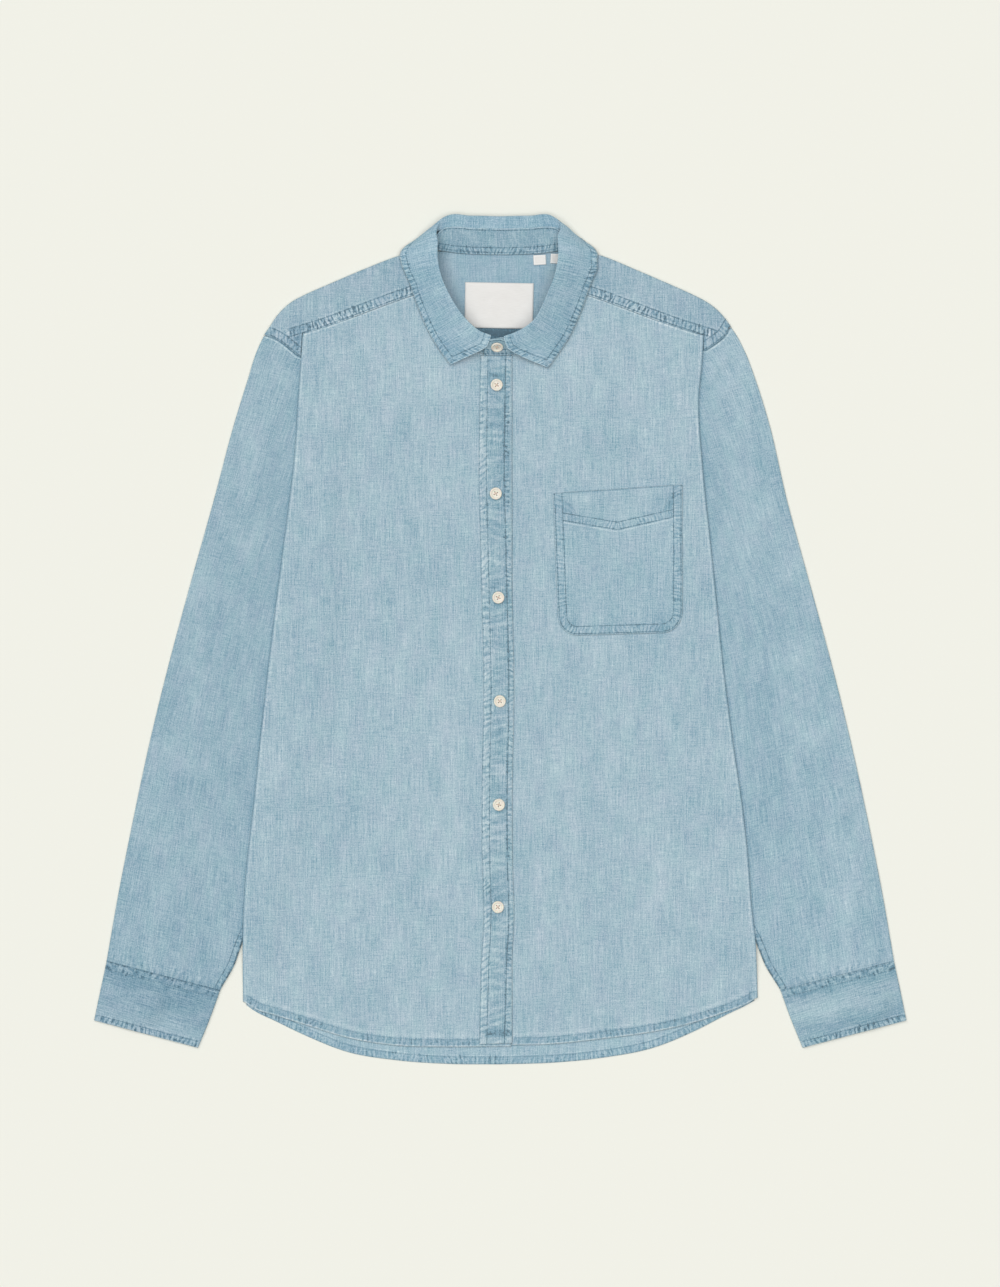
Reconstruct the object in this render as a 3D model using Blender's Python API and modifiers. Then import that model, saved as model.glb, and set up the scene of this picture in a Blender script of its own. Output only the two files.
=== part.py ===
"""A men's chambray shirt, buttoned up and laid flat, face up, on the plane Z = 0.

+X runs to the viewer's right, +Y to the collar and +Z up. The origin is under the middle of the
shirt. Sizes are in millimetres and become metres where a mesh is made. "right" and "left" are the
wearer's: the wearer's right front lies at -X.

Cloth lies in layers, one LAYER above the other. A body row runs from the button band out to the
side fold, and then turns under as a flap to the hidden side seam. The sleeves pass under the body.
"""

import math

import bmesh
import bpy
import numpy as np
from mathutils import Vector

MM = 0.001
SIDES = {"right": -1, "left": 1}

# The cloth: its wall, the gap to what it lies on, and the pitch from one layer to the next. A fold
# turns in FOLD_STEPS steps round a middle line that is FOLD_RADIUS from its outer face.
WALL = 1.0
GAP = 0.3
LAYER = WALL + GAP
FOLD_STEPS = 3
FOLD_RADIUS = (LAYER + WALL) / 2
SHARP_ANGLE = math.radians(40)

# Where the body rises over what is under it: each ramp's width or run, and the gaps beside seams.
UNDERARM_Y = 35.0
UNDERARM_RUN = 44.0
YOKE_SEAM_Y = 258.0
YOKE_RUN = 60.0
RAMP_RUN = 30.0
RAMP_CLEAR = 2.0
TAIL_RISE_Y = (-325.0, -286.0)
SEAM_CLEAR = 0.6
ARMHOLE_CLEAR = 1.0

# A panel's rows are NEAR apart at its top, FAR apart in its middle and HEM apart at its hem.
NEAR_STEP = 20.0
FAR_STEP = 50.0
HEM_STEP = 12.0
EDGE_ROWS = 6
PANEL_LENGTH = 640.0

# Its columns run from the middle to the ramp at 1, across the ramp to 2 and on to the side fold.
NECK_COLUMNS = [0.0, 0.15, 0.28, 0.37, 0.43, 0.6, 0.8]
BACK_COLUMNS = [0.0, 0.35, 0.7]
RAMP_COLUMNS = [1.0, 1.25, 1.5, 1.75, 2.0]
FOLD_COLUMN = 3.0
SEAM_CROWD = 0.2


def table(columns, *rows):
    """A short table of sizes, as one array for each named column."""
    return dict(zip(columns.split(), np.array(rows, float).T))


# The side of the body, from the yoke to the tail: where each front's side fold lies, how wide the
# flap under it is, and how far inside the fold the sleeve's hidden edge runs.
BODY = table(
    "y fold_right fold_left flap tuck",
    (284, 182.5, 188.0, 3.0, 20.0),
    (262, 184.0, 187.0, 4.0, 20.0),
    (220, 186.9, 183.4, 11.0, 24.0),
    (165, 190.6, 186.4, 21.0, 30.0),
    (91, 199.8, 194.0, 33.0, 35.0),
    (35, 207.0, 199.8, 38.0, 38.0),
    (-20, 213.7, 205.4, 36.0, 40.0),
    (-94, 222.0, 214.8, 31.0, 39.0),
    (-150, 227.6, 223.0, 26.0, 34.0),
    (-205, 234.0, 229.2, 21.0, 25.0),
    (-247, 237.2, 232.2, 17.0, 14.0),
    (-280, 238.2, 236.0, 15.0, 0.0),
    (-300, 238.2, 237.0, 15.0, -7.0),
    (-345, 237.8, 238.4, 14.0, -30.0),
)

# The hem, by how far out towards the side fold: both fronts, and the back's longer tail.
HEM = table(
    "out front_right front_left back_right back_left",
    (0.00, -377.0, -373.6, -393.5, -393.5),
    (0.20, -377.4, -373.0, -393.0, -393.3),
    (0.40, -376.2, -368.8, -389.5, -389.6),
    (0.60, -369.6, -363.6, -382.0, -379.4),
    (0.75, -359.8, -355.8, -370.0, -365.6),
    (0.88, -349.5, -345.8, -354.5, -349.6),
    (1.00, -334.0, -334.0, -339.5, -339.0),
)

# The shoulder and the sleeve's outer edge, from the neck to the cuff.
SHOULDER = table(
    "x y", (66.0, 361.4), (93.4, 354.6), (127.7, 341.3), (162.0, 326.5), (179.5, 319.0),
    (193.3, 311.5), (202.5, 303.5), (208.8, 295.5), (213.2, 288.6),
)
SLEEVE_EDGE = table(
    "x y", (213.5, 287.8), (218.6, 280.2), (225.2, 267.3), (235.9, 237.7), (247.0, 201.7),
    (265.5, 127.7), (286.3, 53.7), (306.2, -20.4), (324.2, -94.4), (340.4, -168.4),
    (354.7, -242.4), (364.0, -297.6),
)

# The armhole, from the shoulder to where the front's flap hides it. The yoke's front laps over the
# sleeve there, and its front seam runs from the neck to the side fold.
ARMHOLE = table("x y", (213.2, 288.2), (205.0, 283.0), (198.0, 278.5), (190.0, 271.0), (184.0, 265.0))
YOKE_LAP = table("x y", (217.0, 283.0), (208.0, 279.4), (202.4, 274.2), (195.5, 269.2), (188.2, 264.0))
YOKE_FRONT_SEAM = table(
    "x y", (72.6, 320.8), (84.0, 317.3), (110.0, 308.0), (136.0, 298.2), (160.0, 289.4), (186.4, 281.0)
)

# The yoke's lines run out from the neck. Three start between the front seam and the shoulder, and
# six go over the back, each bowed by a share of the shoulder's own bow.
YOKE_LINE_POINTS = 9
YOKE_NECK = table("x y", (72.8, 332.0), (72.2, 342.0), (70.4, 351.5))
YOKE_BACK = table(
    "neck_x neck_y bow",
    (61.0, 357.4, 0.75),
    (56.0, 356.9, 0.50),
    (50.0, 356.0, 0.30),
    (40.0, 354.8, 0.15),
    (20.0, 353.6, 0.0),
    (0.0, 353.3, 0.0),
)
BACK_SHIFT = 0.7

CUFF = table(
    "at outer_x outer_y inner_x inner_y",
    (0.0, 364.0, -298.0, 259.0, -325.0),
    (0.5, 370.0, -326.0, 268.6, -351.5),
    (1.0, 375.6, -353.0, 279.6, -378.4),
)
CUFF_BUTTON = (0.52, 0.66)
CUFF_RINGS = 5
CUFF_COLUMNS = 9

# The sleeve, and the slit band on its underside. The cloth over that band and over the cuff's
# button is lifted, and comes down between the two distances past their edges given here.
SLEEVE_RINGS = 13
SLEEVE_COLUMNS = 8
HIDDEN_ARMHOLE = {"top": 240.0, "points": 6}
ARMHOLE_FADE = 0.45
BAND_LIFT_FADES = (2.0, 26.0)
BUTTON_LIFT_FADES = (9.0, 26.0)
LIFT_PAST_ENDS = 10.0
SLIT_BAND = {"out": 0.64, "start": 0.6, "length": 150.0, "width": 24.0, "rows": 7, "columns": 3}

# The button band, from edge to edge and from under the collar to the hem. The fronts meet under it.
PLACKET_EDGES = (-17.6, 13.0)
PLACKET_TOP = 259.0
PLACKET_LENGTH = 630.0
PLACKET_COLUMNS = 4
FRONT_CENTRE = 10.0

# The pocket: its sides at the bottom and at the top, and its bottom and top at each side.
POCKET = {"left": (53.0, 48.6), "right": (168.4, 168.4), "bottom": (2.4, 5.8), "top": (134.0, 142.0)}
POCKET_CORNER = 19.0
POCKET_COLUMNS = 17
POCKET_ROWS = 6

# The collar, a section for each row, from the middle of the back round to the front: the neck seam,
# the roll, the leaf's edge, and how far up between neck and roll the stand meets the leaf.
COLLAR = table(
    "neck_x neck_y neck_z roll_x roll_y roll_z edge_x edge_y edge_z seam seam_z",
    (0.0, 355.0, 1.9, 0.0, 391.2, 5.0, 0.0, 357.6, 0.8, 0.66, 7.4),
    (30.0, 355.8, 1.9, 28.0, 391.8, 5.1, 28.0, 358.0, 0.8, 0.66, 7.4),
    (50.0, 357.8, 2.0, 47.0, 391.8, 6.5, 55.0, 361.4, 0.8, 0.66, 8.4),
    (57.5, 359.4, 2.7, 55.0, 386.0, 9.5, 73.0, 368.4, 0.9, 0.66, 9.4),
    (61.6, 359.4, 3.2, 58.6, 376.6, 13.0, 84.5, 364.6, 1.4, 0.66, 10.8),
    (65.0, 354.6, 3.4, 60.0, 366.0, 16.5, 91.9, 357.4, 4.4, 0.67, 12.6),
    (68.6, 344.0, 3.3, 59.8, 352.0, 19.5, 91.0, 345.5, 5.2, 0.68, 14.6),
    (70.0, 328.0, 3.4, 56.4, 336.0, 21.5, 84.2, 329.0, 5.2, 0.69, 15.8),
    (66.0, 303.0, 3.5, 48.0, 316.5, 22.0, 75.2, 304.0, 5.2, 0.69, 16.0),
    (53.0, 282.0, 3.5, 34.8, 296.0, 20.5, 64.0, 279.0, 5.2, 0.69, 15.0),
    (36.0, 270.0, 3.5, 22.4, 284.0, 18.4, 54.5, 264.0, 5.2, 0.68, 13.2),
    (17.0, 264.4, 3.5, 11.5, 278.6, 16.6, 46.2, 252.4, 5.4, 0.68, 11.8),
)
COLLAR_WALL = 1.2
LEAF_SECTIONS = 17
LEAF_STEPS = 7
LEAF_START = 0.12
LEAF_CROWD = 0.8
NECK_CLEAR = 1.4
NECK_MIDDLE = (0.0, 315.0, 0.0)

# The stand's ends, which lap at the front: how far each runs past the middle, how much its top
# corner is rounded off, and how far the overlap is moved out over the underlap.
STAND_SECTIONS = 15
STAND_STEPS = 3
STAND_REACH = 0.97
STAND_END = {"neck": (0.0, 262.9, 3.6), "top": (0.0, 277.6, 14.8)}
STAND_LAPS = {"right": 9.0, "left": -15.0}
STAND_LAP_STEPS = 3
STAND_ROUNDING = 0.35
COLLAR_LAP = 1.7

# The labels sewn to the inner yoke, and the buttons.
LABELS = {
    "brand_label": {"x": (-33.3, 31.0), "y": (286.6, 329.4)},
    "size_label": {"x": (30.4, 42.4), "y": (345.4, 353.4)},
    "care_label": {"x": (46.2, 57.0), "y": (346.6, 354.4)},
}

FRONT_BUTTONS = table(
    "x y", (-3.4, 234.5), (-4.2, 134.1), (-1.9, 38.0), (-0.5, -57.8), (-1.4, -153.5), (-2.3, -248.0)
)

BUTTON_RADIUS = 5.6
BUTTON_THICK = 2.2
BUTTON_SIDES = 14
HOLE_RADIUS = 0.7
HOLE_OFFSET = 1.35
HOLE_SIDES = 6

# Half a button's section, from its hollow middle over the rim and round to its back, as shares of
# its radius and its thickness.
BUTTON_PROFILE = [
    (0.0, 0.5), (0.55, 0.55), (0.74, 1.0), (0.92, 1.0), (1.0, 0.6), (0.8, 0.0), (0.0, 0.0),
]
STAND_BUTTON = {"x": -3.0, "up": 0.42}

CLOTH_ROUGHNESS = 0.9
FINISHES = {
    "body_chambray": ((0.381, 0.514, 0.584), CLOTH_ROUGHNESS),
    "sleeve_chambray": ((0.352, 0.491, 0.558), CLOTH_ROUGHNESS),
    "yoke_chambray": ((0.328, 0.462, 0.533), CLOTH_ROUGHNESS),
    "collar_chambray": ((0.287, 0.434, 0.515), CLOTH_ROUGHNESS),
    "cuff_chambray": ((0.301, 0.440, 0.515), CLOTH_ROUGHNESS),
    "band_chambray": ((0.337, 0.462, 0.521), CLOTH_ROUGHNESS),
    "pocket_chambray": ((0.352, 0.491, 0.565), CLOTH_ROUGHNESS),
    "label_cloth": ((0.83, 0.82, 0.80), 0.8),
    "button_cream": ((0.730, 0.665, 0.565), 0.35),
}


# ---- Curves and heights -------------------------------------------------------------------------


def smooth(sizes, column, at, key="y"):
    """The column where the key column is `at`, on a smooth curve through the table's rows."""
    order = np.argsort(sizes[key])
    places, values = sizes[key][order], sizes[column][order]
    slopes = np.gradient(values, places)
    at = np.clip(at, places[0], places[-1])
    row = np.clip(np.searchsorted(places, at) - 1, 0, len(places) - 2)
    span = places[row + 1] - places[row]
    t = (at - places[row]) / span
    start, end = (1 + 2 * t) * (1 - t) ** 2, t * t * (3 - 2 * t)
    leave, reach = t * (1 - t) ** 2 * span, t * t * (t - 1) * span
    return start * values[row] + end * values[row + 1] + leave * slopes[row] + reach * slopes[row + 1]


def curve(sizes, count, names=("x", "y")):
    """Evenly spaced points on the smooth curve through a table's rows."""
    rows = np.stack([sizes[name] for name in names], axis=1)
    steps = np.linalg.norm(np.diff(rows, axis=0), axis=1)
    places = {"s": np.concatenate([[0.0], np.cumsum(steps)])}
    places.update(zip(names, rows.T))
    at = np.linspace(0, places["s"][-1], count)
    return np.stack([smooth(places, name, at, "s") for name in names], axis=1)


def outwards(path):
    """The unit direction to the left of a plan path, at each of its points."""
    run = np.gradient(path, axis=0)
    return np.stack([-run[:, 1], run[:, 0]], axis=1) / np.linalg.norm(run, axis=1)[:, None]


def ease(value, low, high):
    """0 up to low, 1 from high on, and soft between."""
    t = np.clip((value - low) / (high - low), 0, 1)
    return t * t * (3 - 2 * t)


def side_fold(side, y):
    return smooth(BODY, "fold_" + side, y)


def side_seam(side, y):
    """The hidden seam: the armhole above the underarm, and the side seam below it."""
    return side_fold(side, y) - smooth(BODY, "flap", y)


def sleeve_inner_edge(side, y):
    return side_fold(side, y) - smooth(BODY, "tuck", y)


def ramp_top(side, y):
    """Outside this line the body lies on the sleeve."""
    return np.minimum(side_seam(side, y), sleeve_inner_edge(side, y)) - RAMP_CLEAR


def over_sleeve(side, x, y):
    """1 where the front lies over the sleeve, 0 where it lies on the back."""
    top = ramp_top(side, y)
    return ease(x, top - RAMP_RUN, top) * ease(y, *TAIL_RISE_Y)


def front_height(side, x, y):
    """The underside of a front, at x from the middle line."""
    on_yoke = ease(y, YOKE_SEAM_Y - YOKE_RUN, YOKE_SEAM_Y - RAMP_CLEAR)
    lift = over_sleeve(side, x, y)
    return LAYER * (1 + on_yoke + (2 - on_yoke) * lift)


def back_height(side, x, y):
    """The underside of the back, which rides over the sleeve only below the underarm."""
    below = 1 - ease(y, UNDERARM_Y + RAMP_CLEAR, UNDERARM_Y + UNDERARM_RUN)
    return 2 * LAYER * over_sleeve(side, x, y) * below


def front_top_edge(x):
    """The neck seam near the middle, then the yoke seam, as Y at x."""
    front = slice(None, int(np.argmax(COLLAR["neck_x"])) - 1, -1)
    neck = {
        "x": np.append(STAND_END["neck"][0], COLLAR["neck_x"][front]),
        "y": np.append(STAND_END["neck"][1], COLLAR["neck_y"][front]),
    }
    in_neck = smooth(neck, "y", x - NECK_CLEAR, "x") - NECK_CLEAR / 2
    in_yoke = smooth(YOKE_FRONT_SEAM, "y", x, "x") - SEAM_CLEAR / 2
    return np.where(x < YOKE_FRONT_SEAM["x"][0] - 1.0, in_neck, in_yoke)


# ---- Solids -------------------------------------------------------------------------------------


def finish(name):
    """A Principled material with the finish's colour and roughness."""
    made = bpy.data.materials.get(name)
    if made is None:
        made = bpy.data.materials.new(name)
        made.use_nodes = True
        colour, roughness = FINISHES[name]
        shader = made.node_tree.nodes["Principled BSDF"]
        shader.inputs["Base Color"].default_value = (*colour, 1.0)
        shader.inputs["Roughness"].default_value = roughness
        shader.inputs["Metallic"].default_value = 0.0
        made.diffuse_color = (*colour, 1.0)
    return made


def place(name, mesh, material, collection):
    mesh.materials.clear()
    mesh.materials.append(finish(material))
    made = bpy.data.objects.new(name, mesh)
    collection.objects.link(made)
    return made


def cloth_wall(name, outer, inner, material, collection, closed=False):
    """A closed wall of cloth between two grids of points, rows by columns. Closed joins its columns."""
    rows, columns = outer.shape[:2]
    build = bmesh.new()
    outside, inside = (
        [[build.verts.new(point * MM) for point in row] for row in grid] for grid in (outer, inner)
    )
    spans = [(j, (j + 1) % columns) for j in range(columns if closed else columns - 1)]
    for face in (outside, inside):
        for row, below in zip(face, face[1:]):
            for j, k in spans:
                build.faces.new((row[j], row[k], below[k], below[j]))
    for i in (0, rows - 1):
        for j, k in spans:
            build.faces.new((outside[i][j], outside[i][k], inside[i][k], inside[i][j]))
    if not closed:
        for j in (0, columns - 1):
            for i in range(rows - 1):
                build.faces.new((outside[i][j], outside[i + 1][j], inside[i + 1][j], inside[i][j]))
    bmesh.ops.recalc_face_normals(build, faces=build.faces)
    mesh = bpy.data.meshes.new(name)
    build.to_mesh(mesh)
    build.free()
    mesh.shade_smooth()
    mesh.set_sharp_from_angle(angle=SHARP_ANGLE)
    return place(name, mesh, material, collection)


def flat_cloth(name, x, y, z, material, collection):
    """Cloth that lies flat: grids of x, y and the underside's height."""
    under = np.stack(np.broadcast_arrays(x, y, z), axis=2).astype(float)
    return cloth_wall(name, under + (0, 0, WALL), under, material, collection)


def normals(grid):
    """The unit normal at each point of a grid."""
    along, across = np.gradient(grid, axis=0), np.gradient(grid, axis=1)
    normal = np.cross(along, across)
    return normal / np.linalg.norm(normal, axis=2, keepdims=True)


def outward_normals(grid):
    """The normals of the collar's surfaces that point away from the neck's middle."""
    normal = normals(grid)
    away = grid - NECK_MIDDLE
    facing = np.sign(np.sum(normal[..., :2] * away[..., :2], axis=2, keepdims=True))
    return normal * facing


def on_side(grid, side):
    """A grid that was made at +X, moved to the wearer's right or left."""
    return grid * (SIDES[side], 1, 1)


# ---- Body ---------------------------------------------------------------------------------------


def column_x(side, column, y, start):
    """Where a column crosses y. Columns 0 to 1 reach the ramp, to 2 cross it, to 3 reach the fold."""
    top = ramp_top(side, y)
    fold = side_fold(side, y) - FOLD_RADIUS
    knots = [start, top - RAMP_RUN, top, fold]
    part = min(int(column), 2)
    return knots[part] + (knots[part + 1] - knots[part]) * (column - part)


def solve_edge(side, column, start, edge):
    """The Y where a column meets an edge that is given as Y at x, by halving the error."""
    y = edge(start)
    for _ in range(30):
        y = (y + edge(column_x(side, column, y, start))) / 2
    return y


def hem_edge(side, piece):
    """A panel's hem, as a function that gives Y at x."""

    def edge(x):
        out = np.abs(x) / side_fold(side, HEM[piece + "_" + side][-1])
        return smooth(HEM, piece + "_" + side, out, "out")

    return edge


def row_places(near, length=PANEL_LENGTH):
    """Rows from 0 to 1 down a panel: close together near its top and its hem."""
    top = np.arange(EDGE_ROWS) * near
    foot = length - np.arange(EDGE_ROWS)[::-1] * HEM_STEP
    steps = round((foot[0] - top[-1]) / FAR_STEP)
    between = np.linspace(top[-1], foot[0], steps + 1)
    return np.concatenate([top, between[1:-1], foot]) / length


def front_rows(side, columns):
    """The plan of a front's top layer: x and y, rows by columns."""
    places = row_places(NEAR_STEP)
    hem = hem_edge(side, "front")
    start = FRONT_CENTRE + GAP
    grid = np.zeros((len(places), len(columns), 2))
    for j, column in enumerate(columns):
        top = solve_edge(side, column, start, front_top_edge)
        bottom = solve_edge(side, column, start, hem)
        for i, place_down in enumerate(places):
            y = top + (bottom - top) * place_down
            grid[i, j] = column_x(side, column, y, start), y
    return grid


def make_front(side, collection):
    """A front from the button band to the side fold, and the flap that it turns under."""
    plan = front_rows(side, NECK_COLUMNS + RAMP_COLUMNS + [FOLD_COLUMN])
    if side == "right":
        # The wearer's right front reaches past the middle, under the band.
        lap = plan[:, :1].copy()
        lap[:, 0, 0] = -FRONT_CENTRE
        plan = np.concatenate([lap, plan], axis=1)
    x, y = plan[..., 0], plan[..., 1]
    z = front_height(side, x, y)
    turn = np.linspace(0, math.pi, FOLD_STEPS + 1)[1:-1]
    fold_x, fold_y = x[:, -1:], y[:, -1:]
    middle_z = z[:, -1:] + WALL - FOLD_RADIUS
    flap_x = np.concatenate([fold_x, side_seam(side, fold_y)], axis=1)
    grids = []
    for face in (WALL, 0.0):
        radius = FOLD_RADIUS - WALL + face
        top = np.stack([x, y, z + face], axis=2)
        arc = [fold_x + radius * np.sin(turn), fold_y, middle_z + radius * np.cos(turn)]
        flap = [flap_x, fold_y, middle_z - radius]
        rest = [np.stack(np.broadcast_arrays(*part), axis=2) for part in (arc, flap)]
        grids.append(on_side(np.concatenate([top, *rest], axis=1), side))
    return cloth_wall("front_" + side, *grids, "body_chambray", collection)


def make_back(collection):
    """The back, in one piece from side seam to side seam, under the fronts."""
    columns = BACK_COLUMNS + RAMP_COLUMNS + [FOLD_COLUMN]
    places = row_places(1.5 * NEAR_STEP)
    top = YOKE_SEAM_Y - GAP
    halves = []
    for side in SIDES:
        hem = hem_edge(side, "back")
        grid = np.zeros((len(places), len(columns), 3))
        for j, column in enumerate(columns):
            bottom = solve_edge(side, column, 0.0, hem)
            for i, place_down in enumerate(places):
                y = top + (bottom - top) * place_down
                clear = ARMHOLE_CLEAR if y > UNDERARM_Y else SEAM_CLEAR
                # The last column lies on the side seam, and the rest keep inside it.
                reach = side_seam(side, y) - clear - SEAM_CROWD * (len(columns) - 1 - j)
                x = reach if column == FOLD_COLUMN else min(column_x(side, column, y, 0.0), reach)
                grid[i, j] = x, y, back_height(side, x, y)
        halves.append(on_side(grid, side))
    under = np.concatenate([halves[0][:, :0:-1], halves[1]], axis=1)
    return cloth_wall("back", under + (0, 0, WALL), under, "body_chambray", collection)


def make_placket(collection):
    """The button band, laid on both fronts' middle edges."""
    x = np.linspace(*PLACKET_EDGES, PLACKET_COLUMNS + 1)[None, :]
    hem_y = np.interp(x, PLACKET_EDGES, (HEM["front_right"][0], HEM["front_left"][0])) + RAMP_CLEAR
    rows = row_places(HEM_STEP, PLACKET_LENGTH)[:, None]
    y = PLACKET_TOP + (hem_y - PLACKET_TOP) * rows
    z = front_height("left", np.abs(x), y) + LAYER
    return flat_cloth("front_placket", x, y, z, "band_chambray", collection)


def make_pocket(collection):
    """A patch pocket on the wearer's left front, from that front's height, with round corners."""
    across = np.linspace(0, 1, POCKET_COLUMNS + 1)[None, :]
    down = np.linspace(0, 1, POCKET_ROWS + 1)[:, None]
    left = POCKET["left"][1] + (POCKET["left"][0] - POCKET["left"][1]) * down
    right = POCKET["right"][1] + (POCKET["right"][0] - POCKET["right"][1]) * down
    width = POCKET["right"][0] - POCKET["left"][0]
    from_side = np.minimum(across, 1 - across) * width
    cut = np.clip(POCKET_CORNER - from_side, 0, POCKET_CORNER)
    rise = POCKET_CORNER - np.sqrt(POCKET_CORNER**2 - cut**2)
    low = np.interp(across, (0, 1), POCKET["bottom"]) + rise
    high = np.interp(across, (0, 1), POCKET["top"])
    x = left + (right - left) * across
    y = high + (low - high) * down
    z = front_height("left", x, y) + LAYER
    return flat_cloth("pocket", x, y, z, "pocket_chambray", collection)


# ---- Yokes --------------------------------------------------------------------------------------


def yoke_line(start, end, bow):
    """A line from the neck to the outer edge, bowed like the shoulder."""
    shoulder = curve(SHOULDER, YOKE_LINE_POINTS)
    t = np.linspace(0, 1, YOKE_LINE_POINTS)[:, None]
    chord = shoulder[0] + (shoulder[-1] - shoulder[0]) * t
    return np.array(start) + (np.array(end) - start) * t + bow * (shoulder - chord)


def yoke_front_lines(side):
    """From the front yoke seam up to the shoulder, lapping over the sleeve."""
    steps = len(YOKE_NECK["x"]) + 1
    lap = curve(YOKE_LAP, steps + 1)[::-1]
    seam = curve(YOKE_FRONT_SEAM, YOKE_LINE_POINTS - 1) + (0, SEAM_CLEAR / 2)
    corner_x = side_fold(side, seam[-1, 1]) + SEAM_CLEAR
    seam[-1] = corner_x, smooth(YOKE_FRONT_SEAM, "y", corner_x, "x") + SEAM_CLEAR
    tip = (side_fold(side, lap[0, 1]) + SEAM_CLEAR, lap[0, 1])
    seam = np.concatenate([seam, [tip]])
    shoulder = curve(SHOULDER, YOKE_LINE_POINTS)
    lines = [seam]
    for step, neck in enumerate(zip(YOKE_NECK["x"], YOKE_NECK["y"]), start=1):
        line = seam + (shoulder - seam) * step / steps
        line[0] = neck
        line[-1] = lap[step]
        lines.append(line)
    return lines


def back_lines(side, inset=0.0):
    """From the shoulder down to the yoke's seam at the back, ending at its middle."""
    armhole = curve(ARMHOLE, 4)[1:] - (BACK_SHIFT + inset, 0.0)
    low = YOKE_SEAM_Y + GAP
    corner = side_seam(side, low) - RAMP_CLEAR - inset
    seam = np.array([(corner, low), (corner * 0.6, low), (0.0, low)])
    ends = np.concatenate([armhole, seam])
    starts = np.stack([YOKE_BACK["neck_x"], YOKE_BACK["neck_y"]], axis=1)
    return [yoke_line(start, end, bow) for start, end, bow in zip(starts, ends, YOKE_BACK["bow"])]


def at_height(line, z):
    """A plan line's points at height z."""
    return np.column_stack([line, np.full(len(line), z)])


def both_halves(lines_of):
    """The wearer's right half's lines, then the left half's, meeting at the middle of the back."""
    right, left = (on_side(np.array(lines_of(side)), side) for side in SIDES)
    return np.concatenate([right, left[-2::-1]])


def make_yoke_outer(collection):
    """From the front seams over both shoulder folds and across the back."""
    high = 2 * LAYER
    radius = (high + WALL) / 2
    shoulder = curve(SHOULDER, YOKE_LINE_POINTS)
    out = outwards(shoulder)

    def at_face(face):
        turning = radius - WALL + face

        def lines_of(side):
            front = [at_height(line, high + face) for line in yoke_front_lines(side)]
            fold = []
            for turn in np.linspace(0, math.pi, FOLD_STEPS + 2):
                plan = shoulder + out * (turning * math.sin(turn) - radius)
                fold.append(at_height(plan, radius + turning * math.cos(turn)))
            back = [at_height(line, WALL - face) for line in back_lines(side)]
            return front + fold + back

        return both_halves(lines_of)

    return cloth_wall("yoke_outer", at_face(WALL), at_face(0.0), "yoke_chambray", collection)


def make_yoke_inner(collection):
    """The inner yoke lies on the outer yoke's back, up to just inside the shoulder folds."""
    inset = 2 * LAYER
    edge = curve(SHOULDER, YOKE_LINE_POINTS) - (0.0, inset)
    edge[:, 0] -= np.linspace(-WALL, inset, YOKE_LINE_POINTS)

    def lines_of(side):
        return [at_height(line, LAYER) for line in [edge] + back_lines(side, 2 * SEAM_CLEAR)[1:]]

    under = both_halves(lines_of)
    return cloth_wall("yoke_inner", under + (0, 0, WALL), under, "yoke_chambray", collection)


# ---- Sleeves and cuffs --------------------------------------------------------------------------


def cuff_point(at, out):
    """A point of the cuff: `at` from its sleeve seam to its hem, `out` from its inner to its outer end."""
    outer = np.array([smooth(CUFF, "outer_x", at, "at"), smooth(CUFF, "outer_y", at, "at")])
    inner = np.array([smooth(CUFF, "inner_x", at, "at"), smooth(CUFF, "inner_y", at, "at")])
    return inner + (outer - inner) * out


def slit_line():
    """The foot of the sleeve's slit band at the cuff seam, and the directions along and across it."""
    edge = curve(SLEEVE_EDGE, SLEEVE_RINGS)
    up = edge[-3] - edge[-1]
    up = up / np.linalg.norm(up)
    foot = cuff_point(0.0, SLIT_BAND["out"]) + up * GAP
    return foot, up, np.array([up[1], -up[0]])


def underlay(plan):
    """How far a sleeve or cuff is lifted by the slit band and the button under it."""
    foot, up, _ = slit_line()
    reach = np.clip((plan - foot) @ up, -LIFT_PAST_ENDS, SLIT_BAND["length"] + LIFT_PAST_ENDS)
    past_band = np.linalg.norm(plan - (foot + reach[..., None] * up), axis=-1) - SLIT_BAND["width"] / 2
    past_button = np.linalg.norm(plan - cuff_point(*CUFF_BUTTON), axis=-1) - BUTTON_RADIUS
    band = LAYER * (1 - ease(past_band, *BAND_LIFT_FADES))
    button = (BUTTON_THICK + 2 * GAP) * (1 - ease(past_button, *BUTTON_LIFT_FADES))
    return np.maximum(band, button)


def flat_tube(name, inner, outer, across, bulges, side, material, collection):
    """A flattened tube of rings between its two folded edges, each ring bulging as its row says."""
    start_out, end_out = -outwards(inner), outwards(outer)
    starts, ends = inner - start_out * FOLD_RADIUS, outer - end_out * FOLD_RADIUS
    t = np.linspace(0, 1, across)[:, None]
    turns = np.linspace(0, math.pi, FOLD_STEPS + 1)[1:-1, None]
    grids = []
    for face in (WALL, 0.0):
        radius = FOLD_RADIUS - WALL + face
        rings = []
        for start, end, bulge, out_at_start, out_at_end in zip(starts, ends, bulges, start_out, end_out):
            plan = start + (end - start) * t + bulge
            lift = underlay(plan)
            swing, rise = radius * np.sin(turns), radius * np.cos(turns)
            rings.append(np.concatenate([
                np.column_stack([plan, lift + WALL - face]),
                np.column_stack([plan[-1] + out_at_end * swing, lift[-1] + FOLD_RADIUS - rise]),
                np.column_stack([plan, lift + LAYER + face])[::-1],
                np.column_stack([plan[0] + out_at_start * swing, lift[0] + FOLD_RADIUS + rise]),
            ]))
        grids.append(on_side(np.array(rings), side))
    return cloth_wall(name, *grids, material, collection, closed=True)


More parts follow.
